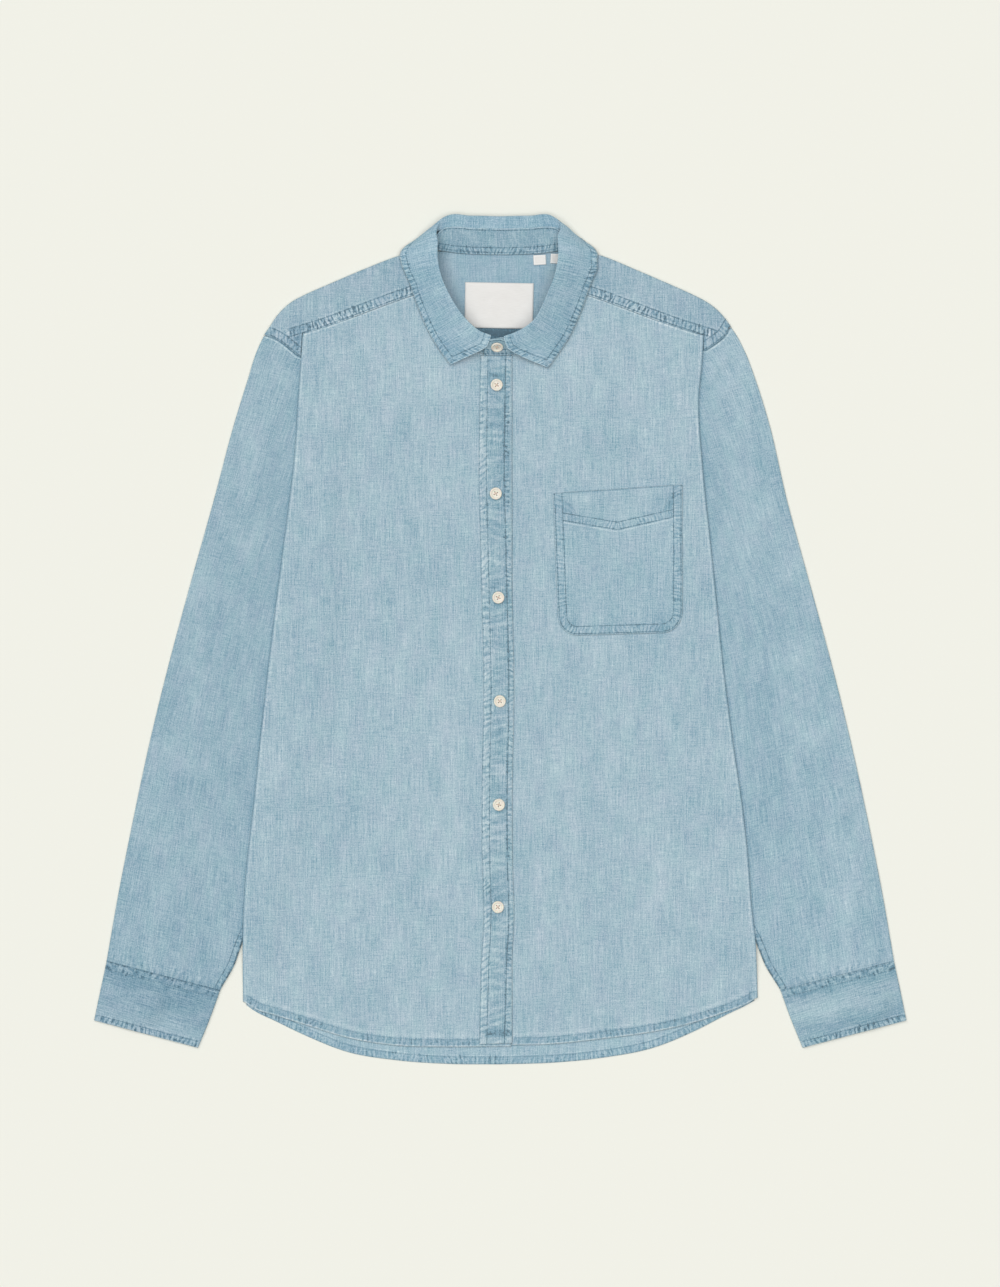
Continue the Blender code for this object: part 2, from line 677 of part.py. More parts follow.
def armhole_curve(side, count):
    """The whole armhole's plan, from the underarm, under the front's flap, to the shoulder."""
    hidden_y = np.linspace(UNDERARM_Y, HIDDEN_ARMHOLE["top"], HIDDEN_ARMHOLE["points"])
    hidden = {"x": side_seam(side, hidden_y), "y": hidden_y}
    whole = {name: np.concatenate([hidden[name], ARMHOLE[name][::-1]]) for name in ("x", "y")}
    return curve(whole, count)


def make_sleeve(side, collection):
    """A sleeve from the armhole, whose curve fades out down its rings, to the cuff."""
    down = np.linspace(0, 1, SLEEVE_RINGS)
    outer = curve(SLEEVE_EDGE, SLEEVE_RINGS)
    inner_y = UNDERARM_Y + (CUFF["inner_y"][0] - UNDERARM_Y) * down
    inner = np.stack([sleeve_inner_edge(side, inner_y), inner_y], axis=1)
    inner[-1] = cuff_point(0.0, 0.0)
    armhole = armhole_curve(side, SLEEVE_COLUMNS)
    t = np.linspace(0, 1, SLEEVE_COLUMNS)[:, None]
    sag = armhole - (armhole[0] + (armhole[-1] - armhole[0]) * t)
    bulges = [sag * (1 - ease(part, 0.0, ARMHOLE_FADE)) for part in down]
    bulges[-1] = bulges[-1] + (0.0, GAP)
    name = "sleeve_" + side
    return flat_tube(name, inner, outer, SLEEVE_COLUMNS, bulges, side, "sleeve_chambray", collection)


def make_cuff(side, collection):
    """A closed band, a little wider at the sleeve than at the wrist."""
    places = np.linspace(0, 1, CUFF_RINGS)
    outer = np.array([cuff_point(at, 1.0) for at in places])
    inner = np.array([cuff_point(at, 0.0) for at in places])
    bulges = np.zeros(CUFF_RINGS)
    return flat_tube("cuff_" + side, inner, outer, CUFF_COLUMNS, bulges, side, "cuff_chambray", collection)


def make_slit_band(side, collection):
    """The slit's band, on the sleeve's underside."""
    foot, up, across = slit_line()
    along = np.linspace(SLIT_BAND["start"], SLIT_BAND["length"], SLIT_BAND["rows"])[:, None, None]
    out = np.linspace(-0.5, 0.5, SLIT_BAND["columns"])[None, :, None] * SLIT_BAND["width"]
    plan = foot + along * up + out * across
    height = underlay(plan) - LAYER
    under = on_side(np.concatenate([plan, height[..., None]], axis=2), side)
    name = "sleeve_placket_" + side
    return cloth_wall(name, under + (0, 0, WALL), under, "band_chambray", collection)


# ---- Collar -------------------------------------------------------------------------------------


def collar_sections(count):
    """Evenly spaced sections of one half of the collar, from the back to the front."""
    steps = 0.0
    for part in ("neck", "roll"):
        line = np.stack([COLLAR[part + "_x"], COLLAR[part + "_y"]], axis=1)
        steps = steps + np.linalg.norm(np.diff(line, axis=0), axis=1)
    sizes = dict(COLLAR, s=np.concatenate([[0.0], np.cumsum(steps)]))
    at = np.linspace(0, sizes["s"][-1], count)
    read = {name: smooth(sizes, name, at, "s") for name in COLLAR}
    section = {
        part: np.stack([read[part + axis] for axis in ("_x", "_y", "_z")], axis=1)
        for part in ("neck", "roll", "edge")
    }
    seam = section["neck"] + (section["roll"] - section["neck"]) * read["seam"][:, None]
    seam[:, 2] = read["seam_z"]
    section["seam"] = seam
    return section


def whole_collar(half):
    """A half's rows, mirrored, so that they run from the wearer's right front end to the left one."""
    return np.concatenate([(half * (-1, 1, 1))[::-1], half[1:]])


def make_collar_leaf(collection):
    """The leaf goes from its seam up over the roll and down to its edge."""
    section = collar_sections(LEAF_SECTIONS)
    seam = section["seam"] + (section["roll"] - section["seam"]) * LEAF_START
    # Each row is a cubic curve with one turning point, set so that its middle lies on the roll.
    apex = (8 * section["roll"] - seam - section["edge"]) / 6
    t = (np.linspace(0, 1, LEAF_STEPS + 1) ** LEAF_CROWD)[:, None]
    rows = [
        (1 - t) ** 3 * start + 3 * t * (1 - t) * turn + t**3 * end
        for start, turn, end in zip(seam, apex, section["edge"])
    ]
    middle = whole_collar(np.array(rows))
    offset = normals(middle) * COLLAR_WALL / 2
    return cloth_wall("collar_leaf", middle + offset, middle - offset, "collar_chambray", collection)


def stand_middle():
    """The stand's middle surface, from the underlap's end round the neck to the overlap's end."""
    section = collar_sections(STAND_SECTIONS)
    up = np.linspace(0, 1, STAND_STEPS + 1)[:, None]
    reach = zip(section["neck"], (section["seam"] - section["neck"]) * STAND_REACH)
    whole = whole_collar(np.array([low + rise * up for low, rise in reach]))
    low, high = np.array(STAND_END["neck"]), np.array(STAND_END["top"])
    ends = {}
    for side, lap in STAND_LAPS.items():
        ends[side] = [
            low + (high - low) * up * (1 - STAND_ROUNDING * part**2) + (lap * part, 0, 0)
            for part in np.linspace(0, 1, STAND_LAP_STEPS + 1)
        ]
    middle = np.concatenate([ends["right"][::-1], whole, ends["left"]])
    # The overlap's end, and the rows that lead to it, lie outside the underlap.
    from_end = np.arange(len(middle))[::-1, None, None]
    lapped = 1 - ease(from_end, STAND_LAP_STEPS, 2 * STAND_LAP_STEPS + 2)
    return middle + outward_normals(middle) * COLLAR_LAP * lapped


def make_collar_stand(middle, collection):
    """The stand, to both sides of its middle surface."""
    offset = outward_normals(middle) * COLLAR_WALL / 2
    return cloth_wall("collar_stand", middle + offset, middle - offset, "collar_chambray", collection)


# ---- Labels and buttons -------------------------------------------------------------------------


def make_label(name, collection):
    """A label, flat on the inner yoke."""
    x = np.array([LABELS[name]["x"]])
    y = np.array([LABELS[name]["y"]]).T
    return flat_cloth(name, x, y, 2 * LAYER, "label_cloth", collection)


def button_drill(number, cutters):
    """A cutter for one of the button's four holes."""
    drill = bmesh.new()
    radius = HOLE_RADIUS * MM
    depth = 3 * BUTTON_THICK * MM
    bmesh.ops.create_cone(
        drill, cap_ends=True, segments=HOLE_SIDES, radius1=radius, radius2=radius, depth=depth
    )
    mesh = bpy.data.meshes.new("button_drill")
    drill.to_mesh(mesh)
    drill.free()
    made = bpy.data.objects.new(f"button_drill_{number}", mesh)
    angle = math.radians(45 + 90 * number)
    made.location = Vector((math.cos(angle), math.sin(angle), 0.0)) * HOLE_OFFSET * MM
    made.hide_render = True
    made.display_type = "WIRE"
    cutters.objects.link(made)
    return made


def button_mesh(cutters):
    """A four-hole button: a turned blank with a raised rim, and its holes cut."""
    profile = [(out * BUTTON_RADIUS * MM, 0.0, up * BUTTON_THICK * MM) for out, up in BUTTON_PROFILE]
    mesh = bpy.data.meshes.new("button_profile")
    mesh.from_pydata(profile, [(i, i + 1) for i in range(len(profile) - 1)], [])
    blank = bpy.data.objects.new("button_blank", mesh)
    cutters.objects.link(blank)
    turn = blank.modifiers.new("turned", "SCREW")
    turn.steps = BUTTON_SIDES
    turn.render_steps = BUTTON_SIDES
    turn.use_merge_vertices = True
    turn.merge_threshold = 0.00001
    for number in range(4):
        cut = blank.modifiers.new(f"hole_{number}", "BOOLEAN")
        cut.operation = "DIFFERENCE"
        cut.object = button_drill(number, cutters)
    bpy.context.view_layer.update()
    made = bpy.data.meshes.new_from_object(blank.evaluated_get(bpy.context.evaluated_depsgraph_get()))
    blank.hide_render = True
    blank.display_type = "WIRE"
    made.shade_smooth()
    made.set_sharp_from_angle(angle=SHARP_ANGLE)
    made.materials.clear()
    made.materials.append(finish("button_cream"))
    return made


def add_button(name, mesh, at, facing, collection):
    """A button with its back at `at` and its face along `facing`."""
    made = bpy.data.objects.new(name, mesh)
    made.location = Vector(at) * MM
    made.rotation_mode = "QUATERNION"
    made.rotation_quaternion = Vector(facing).to_track_quat("Z", "Y")
    collection.objects.link(made)
    return made


def add_stand_button(mesh, stand, collection):
    """The top button, which leans with the stand's overlap."""
    first = len(stand) - STAND_LAP_STEPS - 1
    row = first + int(np.argmin(np.abs(stand[first:, 0, 0] - STAND_BUTTON["x"])))
    low, high = stand[row, 0], stand[row, -1]
    facing = outward_normals(stand)[row, STAND_STEPS // 2]
    at = low + (high - low) * STAND_BUTTON["up"] + facing * (COLLAR_WALL / 2 + GAP)
    at[0] = STAND_BUTTON["x"]
    add_button("button_stand", mesh, at, facing, collection)


def add_buttons(mesh, collection):
    """Six on the band, and one under each cuff."""
    for number, (x, y) in enumerate(zip(FRONT_BUTTONS["x"], FRONT_BUTTONS["y"]), start=1):
        z = float(front_height("left", abs(x), y)) + 2 * LAYER
        add_button(f"button_front_{number}", mesh, (x, y, z), (0, 0, 1), collection)
    for side, sign in SIDES.items():
        x, y = cuff_point(*CUFF_BUTTON)
        z = float(underlay(np.array([x, y]))) - GAP
        add_button("button_cuff_" + side, mesh, (x * sign, y, z), (0, 0, -1), collection)


def main():
    for old in list(bpy.data.objects):
        bpy.data.objects.remove(old)
    shirt = bpy.data.collections.new("chambray_shirt")
    cutters = bpy.data.collections.new("cutters")
    bpy.context.scene.collection.children.link(shirt)
    bpy.context.scene.collection.children.link(cutters)

    make_back(shirt)
    for side in SIDES:
        make_front(side, shirt)
        make_sleeve(side, shirt)
        make_cuff(side, shirt)
        make_slit_band(side, shirt)
    make_placket(shirt)
    make_pocket(shirt)
    make_yoke_outer(shirt)
    make_yoke_inner(shirt)
    for name in LABELS:
        make_label(name, shirt)
    make_collar_leaf(shirt)
    stand = stand_middle()
    make_collar_stand(stand, shirt)
    button = button_mesh(cutters)
    add_stand_button(button, stand, shirt)
    add_buttons(button, shirt)


main()
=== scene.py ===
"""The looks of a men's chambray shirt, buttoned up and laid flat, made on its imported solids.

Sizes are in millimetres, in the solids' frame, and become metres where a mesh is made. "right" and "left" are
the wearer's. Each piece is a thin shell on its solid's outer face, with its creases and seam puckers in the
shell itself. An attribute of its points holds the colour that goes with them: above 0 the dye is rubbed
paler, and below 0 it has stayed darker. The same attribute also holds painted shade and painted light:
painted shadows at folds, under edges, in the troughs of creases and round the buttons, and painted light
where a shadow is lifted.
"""

import math

import bmesh
import bpy
import numpy as np
from mathutils import Matrix, Vector
from mathutils.bvhtree import BVHTree


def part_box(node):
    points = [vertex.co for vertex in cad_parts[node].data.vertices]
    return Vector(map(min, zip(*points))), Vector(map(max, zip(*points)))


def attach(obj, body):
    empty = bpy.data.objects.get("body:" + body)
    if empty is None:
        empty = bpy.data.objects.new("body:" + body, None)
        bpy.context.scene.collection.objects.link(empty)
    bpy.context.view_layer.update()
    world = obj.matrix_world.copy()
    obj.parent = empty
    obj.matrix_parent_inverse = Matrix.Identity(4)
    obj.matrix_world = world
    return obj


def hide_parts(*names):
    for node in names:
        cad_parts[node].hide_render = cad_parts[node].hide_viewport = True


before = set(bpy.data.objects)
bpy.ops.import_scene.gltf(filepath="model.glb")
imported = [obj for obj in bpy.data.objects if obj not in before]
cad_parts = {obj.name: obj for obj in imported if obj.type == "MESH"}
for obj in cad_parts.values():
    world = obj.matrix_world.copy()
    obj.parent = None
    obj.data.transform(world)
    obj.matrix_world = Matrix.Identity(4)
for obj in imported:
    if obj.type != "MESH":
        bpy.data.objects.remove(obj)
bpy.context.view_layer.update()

MM = 0.001
SIDES = {"right": -1, "left": 1}

# The walls and gaps of the solids' layers, and the thinner wall that the cloth is given here.
WALL = 1.0
GAP = 0.3
LAYER = WALL + GAP
FOLD_RADIUS = (LAYER + WALL) / 2
CLOTH = 0.6
THREAD_SINK = 0.08

# Where the body's layers rise: over the sleeves from the underarm down, under the yoke, and by the tail.
UNDERARM_Y = 35.0
UNDERARM_RUN = 44.0
YOKE_SEAM_Y = 258.0
YOKE_RUN = 60.0
RAMP_RUN = 30.0
RAMP_CLEAR = 2.0
TAIL_RISE_Y = (-325.0, -286.0)
SEAM_CLEAR = 0.6
ARMHOLE_CLEAR = 1.0


def table(columns, *rows):
    """A short table of sizes, as one array for each named column."""
    return dict(zip(columns.split(), np.array(rows, float).T))


# The side of the body: each front's side fold, the flap under it, and the sleeve's hidden edge.
BODY = table(
    "y fold_right fold_left flap tuck",
    (284, 182.5, 188.0, 3.0, 20.0), (262, 184.0, 187.0, 4.0, 20.0), (220, 186.9, 183.4, 11.0, 24.0),
    (165, 190.6, 186.4, 21.0, 30.0), (91, 199.8, 194.0, 33.0, 35.0), (35, 207.0, 199.8, 38.0, 38.0),
    (-20, 213.7, 205.4, 36.0, 40.0), (-94, 222.0, 214.8, 31.0, 39.0), (-150, 227.6, 223.0, 26.0, 34.0),
    (-205, 234.0, 229.2, 21.0, 25.0), (-247, 237.2, 232.2, 17.0, 14.0), (-280, 238.2, 236.0, 15.0, 0.0),
    (-300, 238.2, 237.0, 15.0, -7.0), (-345, 237.8, 238.4, 14.0, -30.0),
)

# The hem, by how far out towards the side fold: both fronts, and the back's longer tail.
HEM = table(
    "out front_right front_left back_right back_left",
    (0.00, -377.0, -375.8, -393.6, -393.6), (0.20, -377.4, -374.8, -393.2, -392.1),
    (0.40, -376.2, -369.8, -389.9, -387.4), (0.60, -368.6, -363.2, -381.8, -377.9),
    (0.75, -357.6, -355.0, -367.8, -363.4), (0.88, -347.9, -344.8, -353.0, -347.6),
    (0.96, -341.6, -337.2, -343.6, -338.4), (1.00, -335.0, -331.4, -336.6, -332.8),
)

# The shoulder and the sleeve's outer edge, from the neck to the cuff.
SHOULDER = {
    "right": table(
        "x y", (66.0, 361.2), (93.4, 354.2), (127.7, 341.0), (162.0, 326.3), (179.5, 318.6),
        (193.3, 311.2), (202.5, 303.3), (208.8, 295.5), (213.2, 288.6), (218.3, 281.2),
    ),
    "left": table(
        "x y", (66.0, 361.2), (93.4, 354.2), (127.7, 340.2), (162.0, 325.4), (179.5, 317.4),
        (193.3, 309.8), (202.5, 302.2), (208.8, 295.0), (213.2, 288.6),
    ),
}
SLEEVE_EDGES = table(
    "y right left", (287.8, 213.5, 213.5), (280.2, 218.4, 218.6), (267.3, 224.6, 225.3),
    (237.7, 234.2, 236.6), (201.7, 245.3, 247.8), (127.7, 265.1, 265.2), (53.7, 285.8, 285.4),
    (-20.4, 305.8, 305.6), (-94.4, 324.0, 323.9), (-168.4, 339.8, 340.0), (-242.4, 354.4, 354.5),
    (-297.6, 364.0, 364.0),
)
SLEEVE_EDGE = {side: {"x": SLEEVE_EDGES[side], "y": SLEEVE_EDGES["y"]} for side in SIDES}

# The armhole, the yoke's front lap over the sleeve, its front seam, its line at the neck, and the lines
# that run from the neck over its back.
ARMHOLE = {
    "right": table(
        "x y", (218.4, 280.9), (211.0, 282.2), (205.0, 281.5), (198.0, 277.5), (190.0, 270.5), (184.0, 265.0)
    ),
    "left": table("x y", (213.2, 288.2), (205.0, 283.0), (198.0, 278.5), (190.0, 271.0), (184.0, 265.0)),
}
YOKE_LAP = {
    "right": table(
        "x y", (185.0, 260.0), (188.2, 262.4), (194.3, 267.3), (201.4, 273.2), (209.8, 278.1), (218.3, 281.4)
    ),
    "left": table(
        "x y", (187.6, 266.0), (191.0, 267.6), (197.0, 271.4), (202.8, 275.6), (208.0, 280.4), (213.2, 288.6)
    ),
}
# How far down its outer edge each sleeve starts, as a share of the edge.
SLEEVE_START = {"right": 0.0146, "left": 0.0}
YOKE_FRONT_SEAM = table(
    "x y", (72.6, 320.8), (84.0, 317.3), (110.0, 308.0), (136.0, 298.2), (160.0, 289.4), (186.4, 281.0)
)
YOKE_NECK = table("x y", (72.6, 321.1), (72.8, 332.0), (72.2, 342.0), (70.4, 351.5), (66.0, 361.4))
YOKE_BACK = table(
    "neck_x neck_y bow",
    (61.0, 357.4, 0.75), (56.0, 356.9, 0.50), (50.0, 356.0, 0.30), (40.0, 354.8, 0.15),
    (20.0, 353.6, 0.0), (0.0, 353.3, 0.0),
)
BACK_SHIFT = 0.7

# The cuff's two ends from its sleeve seam to its hem, where its hidden button sits, the armhole's hidden
# part, and the slit's band on the underside, which lifts the sleeve and the cuff over it.
CUFF = table(
    "at outer_x outer_y inner_x inner_y",
    (0.0, 364.0, -298.0, 259.0, -325.0),
    (0.5, 370.0, -326.0, 268.6, -351.5),
    (1.0, 375.6, -353.0, 279.6, -378.4),
)
CUFF_BUTTON = (0.52, 0.66)
HIDDEN_ARMHOLE = {"top": 240.0, "points": 6}
ARMHOLE_FADE = 0.45
SLIT_BAND = {"out": 0.64, "start": 0.6, "length": 150.0, "width": 24.0}
BAND_LIFT_FADES = (2.0, 26.0)
BUTTON_LIFT_FADES = (9.0, 26.0)
LIFT_PAST_ENDS = 10.0

# The button band, whose edge sways, the fronts' overlap at the middle, and the pocket's corners.
PLACKET_EDGES = (-17.6, 13.0)
PLACKET_SWAY = table(
    "y left", (262, -0.8), (200, -1.8), (155, -2.2), (91, -0.9), (17, 0.9), (-20, 1.8), (-76, 1.8),
    (-113, 0.9), (-205, 0.8), (-261, 2.0), (-298, 0.0), (-335, -0.9), (-376, -1.9),
)
PLACKET_WIDTH = 28.2
PLACKET_OVERLAP_X = 10.9
PLACKET_TOP = 259.0
PLACKET_UNDER_STAND = 2.8
FRONT_CENTRE = 10.0
POCKET = {"left": (53.0, 48.6), "right": (168.4, 168.4), "bottom": (2.4, 5.8), "top": (134.0, 142.0)}
POCKET_CORNER = 19.0

# The collar, a section for each row, from the middle of the back round to the front.
COLLAR = table(
    "neck_x neck_y neck_z roll_x roll_y roll_z edge_x edge_y edge_z seam seam_z",
    (0.0, 355.0, 1.9, 0.0, 391.2, 5.0, 0.0, 357.6, 0.8, 0.66, 7.4),
    (30.0, 355.8, 1.9, 28.0, 391.8, 5.1, 28.0, 358.0, 0.8, 0.66, 7.4),
    (50.0, 357.8, 2.0, 47.0, 391.8, 6.5, 55.0, 361.4, 0.8, 0.66, 8.4),
    (57.5, 359.4, 2.7, 55.0, 386.0, 9.5, 73.0, 368.4, 0.9, 0.66, 9.4),
    (61.6, 359.4, 3.2, 58.6, 376.6, 13.0, 84.5, 364.6, 1.4, 0.66, 10.8),
    (65.0, 354.6, 3.4, 60.0, 366.0, 16.5, 91.9, 357.4, 4.4, 0.67, 12.6),
    (68.6, 344.0, 3.3, 59.8, 352.0, 19.5, 91.0, 345.5, 5.2, 0.68, 14.6),
    (70.0, 328.0, 3.4, 56.4, 336.0, 21.5, 84.2, 329.0, 5.2, 0.69, 15.8),
    (66.0, 303.0, 3.5, 48.0, 316.5, 22.0, 75.2, 304.0, 5.2, 0.69, 16.0),
    (53.0, 282.0, 3.5, 34.8, 296.0, 20.5, 64.0, 279.0, 5.2, 0.69, 15.0),
    (36.0, 270.0, 3.5, 22.4, 284.0, 18.4, 54.5, 264.0, 5.2, 0.68, 13.2),
    (17.0, 264.4, 3.5, 11.5, 278.6, 16.6, 46.2, 252.4, 5.4, 0.68, 11.8),
)
COLLAR_WALL = 1.2
# The leaf starts a little under its seam, its rows are closer near there, and its first rows are tucked
# in under the roll. At its front ends it is drawn down and in, by tables of its run from seam to edge.
LEAF_ROWS = 250
LEAF_START = -0.12
LEAF_CROWD = 0.8
LEAF_STEPS = 46
LEAF_TUCK = (1.1, (0.6, 3.4))
LEFT_ROLL_LEAN = 5.0
LEAF_FRONT_REACH = 26.0
LEAF_FRONT = {
    "t": (0.0, 0.3, 0.45, 0.5, 0.6, 0.7, 0.8, 0.9, 1.0),
    "x": (0.0, -1.0, -3.0, -3.5, -3.5, -1.5, -0.5, 0.0, 0.0),
    "y": (0.0, -0.3, -1.0, -2.2, -7.4, -7.8, -6.0, -3.4, 0.0),
    "z": (0.0, 0.0, -0.2, -0.6, -2.6, -3.4, -2.6, -1.2, 0.0),
}
LEAF_END = table(
    "t right_x right_y left_x left_y",
    (0.0, 0.0, 0.0, 0.0, 0.0), (0.3, -1.2, 0.0, -3.5, -0.4), (0.5, -1.4, 0.0, -4.6, -0.8),
    (0.7, -1.0, 0.3, -4.8, -1.6), (0.85, -0.4, 0.3, -3.8, -2.5), (1.0, 0.0, 0.3, -2.0, -2.3),
)
LEFT_LEAN_AT = {"out": (30.0, 52.0), "up": (272.0, 300.0)}
# The roll at the back of the neck lies lower and darker, and the leaf's back corners are moved outwards:
# the side, where out and up they start, how far, and where up they end.
ROLL_DROP = (1.8, (370.0, 390.0))
ROLL_CORNERS = [
    ("right", (38.0, 50.0), (364.0, 378.0), 2.6, None),
    ("left", (34.0, 46.0), (370.0, 382.0), 5.2, None),
    ("left", (72.0, 84.0), (340.0, 352.0), -2.8, (364.0, 374.0)),
]
ROLL_SHADE = (0.34, (376.0, 384.0))
# The stand: its sections and steps, its front end, its laps past the middle, and its button's place.
NECK_CLEAR = 0.5
NECK_MIDDLE = (0.0, 315.0, 0.0)
STAND_SECTIONS = 15
STAND_STEPS = 3
STAND_GRID = (400, 20)
STAND_END = {"neck": (0.0, 262.9, 3.6), "top": (0.0, 277.6, 14.8)}
STAND_LAPS = {"right": 9.0, "left": -15.0}
STAND_LAP_STEPS = 3
STAND_ROUNDING = 0.12
COLLAR_LAP = 1.7
STAND_BUTTON = {"x": -3.0, "up": 0.60, "tilt": 0.28, "clear": 0.4, "turn": 24}
# A painted shadow on the front of the stand, under the leaf's ends: where across, how wide, how far down from
# its top, and how dark.
STAND_TOP_SHADE = (-3.0, 6.5, 2.0, -0.3)

# A button, and its four holes.
BUTTON_RADIUS = 5.6
BUTTON_THICK = 2.2
HOLE_RADIUS = 0.55
HOLE_OFFSET = 1.75

# Where the rows of stitches run, in from each sewn edge.
BAND_ROWS = (7.0, 4.7)
POCKET_ROWS = (1.5, 8.3)
POCKET_FACING = {"path": [(50.4, 109.7), (108.2, 99.9), (168.4, 113.5)], "rows": (0.9, 7.6)}
YOKE_ROWS = (1.6, 8.6)
ARMHOLE_ROWS = (1.2, 7.8)
LEAF_ROW = 6.4
STAND_ROWS = {"seam": 1.8, "neck": (2.2, 6.6)}
CUFF_ROWS = {"seam": (1.3, 7.4), "hem": (5.6,)}
HEM_ROW = 6.6
FELL_ROWS = (1.2, 5.8)


# ---- Curves and heights, as the solids have them ------------------------------------------------


def smooth(sizes, column, at, key="y"):
    """The column where the key column is `at`, on a smooth curve through the table's rows."""
    order = np.argsort(sizes[key])
    places, values = sizes[key][order], sizes[column][order]
    slopes = np.gradient(values, places)
    at = np.clip(at, places[0], places[-1])
    row = np.clip(np.searchsorted(places, at) - 1, 0, len(places) - 2)
    span = places[row + 1] - places[row]
    t = (at - places[row]) / span
    start, end = (1 + 2 * t) * (1 - t) ** 2, t * t * (3 - 2 * t)
    leave, reach = t * (1 - t) ** 2 * span, t * t * (t - 1) * span
    return start * values[row] + end * values[row + 1] + leave * slopes[row] + reach * slopes[row + 1]


def through(rows, at):
    """Rows of values at places from 0 to 1, on smooth curves through the ones given."""
    place = at * (len(rows) - 1)
    row = np.minimum(place.astype(int), len(rows) - 2)
    t = (place - row).reshape(-1, *[1] * (rows.ndim - 1))
    slopes = np.gradient(rows, axis=0)
    start, end = (1 + 2 * t) * (1 - t) ** 2, t * t * (3 - 2 * t)
    leave, reach = t * (1 - t) ** 2, t * t * (t - 1)
    return start * rows[row] + end * rows[row + 1] + leave * slopes[row] + reach * slopes[row + 1]


def run_lengths(path):
    """How far along a path each of its points lies."""
    return np.concatenate([[0.0], np.cumsum(np.linalg.norm(np.diff(path, axis=0), axis=1))])


def curve(sizes, places):
    """Points on the smooth curve through a table's x and y: a count of them, or at places from 0 to 1."""
    lengths = {"s": run_lengths(np.stack([sizes["x"], sizes["y"]], axis=1)), "x": sizes["x"], "y": sizes["y"]}
    places = np.linspace(0, 1, places) if np.ndim(places) == 0 else places
    at = places * lengths["s"][-1]
    return np.stack([smooth(lengths, name, at, "s") for name in ("x", "y")], axis=1)


def evenly(path, count):
    """A count of points at even steps along a path's straight runs."""
    lengths = run_lengths(path)
    at = np.linspace(0, lengths[-1], count)
    return np.stack([np.interp(at, lengths, path[:, n]) for n in (0, 1)], axis=1)


def outwards(path):
    """The unit direction to the left of a plan path, at each of its points."""
    run = np.gradient(path, axis=0)
    return np.stack([-run[:, 1], run[:, 0]], axis=1) / np.linalg.norm(run, axis=1)[:, None]


def ease(value, low, high):
    """0 up to low, 1 from high on, and soft between."""
    t = np.clip((value - low) / (high - low), 0, 1)
    return t * t * (3 - 2 * t)


def near(value, width):
    """1 where the value is 0, and softly down to 0 on both sides of it."""
    return np.exp(-((value / width) ** 2))


def side_fold(side, y):
    """How far out a front's side fold lies."""
    return smooth(BODY, "fold_" + side, y)


def side_seam(side, y):
    """The edge of the flap that turns under at the side fold."""
    return side_fold(side, y) - smooth(BODY, "flap", y)


def sleeve_inner_edge(side, y):
    """The sleeve's edge under the body."""
    return side_fold(side, y) - smooth(BODY, "tuck", y)


def ramp_top(side, y):
    """Outside this line the body lies on the sleeve."""
    return np.minimum(side_seam(side, y), sleeve_inner_edge(side, y)) - RAMP_CLEAR


def over_sleeve(side, x, y):
    """1 where the front lies over the sleeve, 0 where it lies on the back."""
    top = ramp_top(side, y)
    return ease(x, top - RAMP_RUN, top) * ease(y, *TAIL_RISE_Y)


def front_height(side, x, y):
    """The underside of a front's solid, at x from the middle line."""
    on_yoke = ease(y, YOKE_SEAM_Y - YOKE_RUN, YOKE_SEAM_Y - RAMP_CLEAR)
    lift = over_sleeve(side, x, y)
    return LAYER * (1 + on_yoke + (2 - on_yoke) * lift)


def back_height(side, x, y):
    """The underside of the back's solid."""
    below = 1 - ease(y, UNDERARM_Y + RAMP_CLEAR, UNDERARM_Y + UNDERARM_RUN)
    return 2 * LAYER * over_sleeve(side, x, y) * below


def front_top_edge(x):
    """The neck seam near the middle, then the yoke seam, as Y at x."""
    front = slice(None, int(np.argmax(COLLAR["neck_x"])) - 1, -1)
    neck = {
        "x": np.append(STAND_END["neck"][0], COLLAR["neck_x"][front]),
        "y": np.append(STAND_END["neck"][1], COLLAR["neck_y"][front]),
    }
    in_neck = smooth(neck, "y", x - NECK_CLEAR, "x") - NECK_CLEAR / 2
    in_yoke = smooth(YOKE_FRONT_SEAM, "y", x, "x") - SEAM_CLEAR / 2
    return np.where(x < YOKE_FRONT_SEAM["x"][0] - 1.0, in_neck, in_yoke)


def hem_edge(side, piece):
    """A panel's hem, as a function that gives Y at x."""

    def edge(x):
        out = np.abs(x) / side_fold(side, HEM[piece + "_" + side][-1])
        return smooth(HEM, piece + "_" + side, out, "out")

    return edge


GRADE_POINTS = 3001
GRADE_RUN = 8.0


def graded(length, step, *fine):
    """Places from 0 to 1 along a length, `step` apart, and closer at each (place, reach, step) given."""
    at = np.linspace(0, length, GRADE_POINTS)
    size = np.full_like(at, step)
    for place, reach, small in fine:
        growing = ease(np.abs(at - place), reach, 2 * reach + GRADE_RUN)
        size = np.minimum(size, small + (step - small) * growing)
    count = np.concatenate([[0.0], np.cumsum((1 / size[1:] + 1 / size[:-1]) / 2 * np.diff(at))])
    marks = np.linspace(0, count[-1], round(count[-1]) + 1)
    return np.interp(marks, count, at) / length


# ---- Relief: puckers, stitch lines, creases and the wear that goes with them ---------------------


def along(plan, path):
    """Each plan point's nearest place along a path, and how far to the path's left the point lies."""
    flat = plan.reshape(-1, 2)
    nearest = np.full(len(flat), np.inf)
    place = np.zeros(len(flat))
    left = np.zeros(len(flat))
    base = 0.0
    for start, run in zip(path, np.diff(path, axis=0)):
        length = math.hypot(*run)
        away = flat - start
        t = np.clip(away @ run / length**2, 0, 1)
        distance = np.linalg.norm(away - t[:, None] * run, axis=1)
        closer = distance < nearest
        nearest[closer] = distance[closer]
        place[closer] = base + t[closer] * length
        turn = run[0] * away[:, 1] - run[1] * away[:, 0]
        left[closer] = (distance * np.sign(turn))[closer]
        base += length
    return place.reshape(plan.shape[:-1]), left.reshape(plan.shape[:-1])


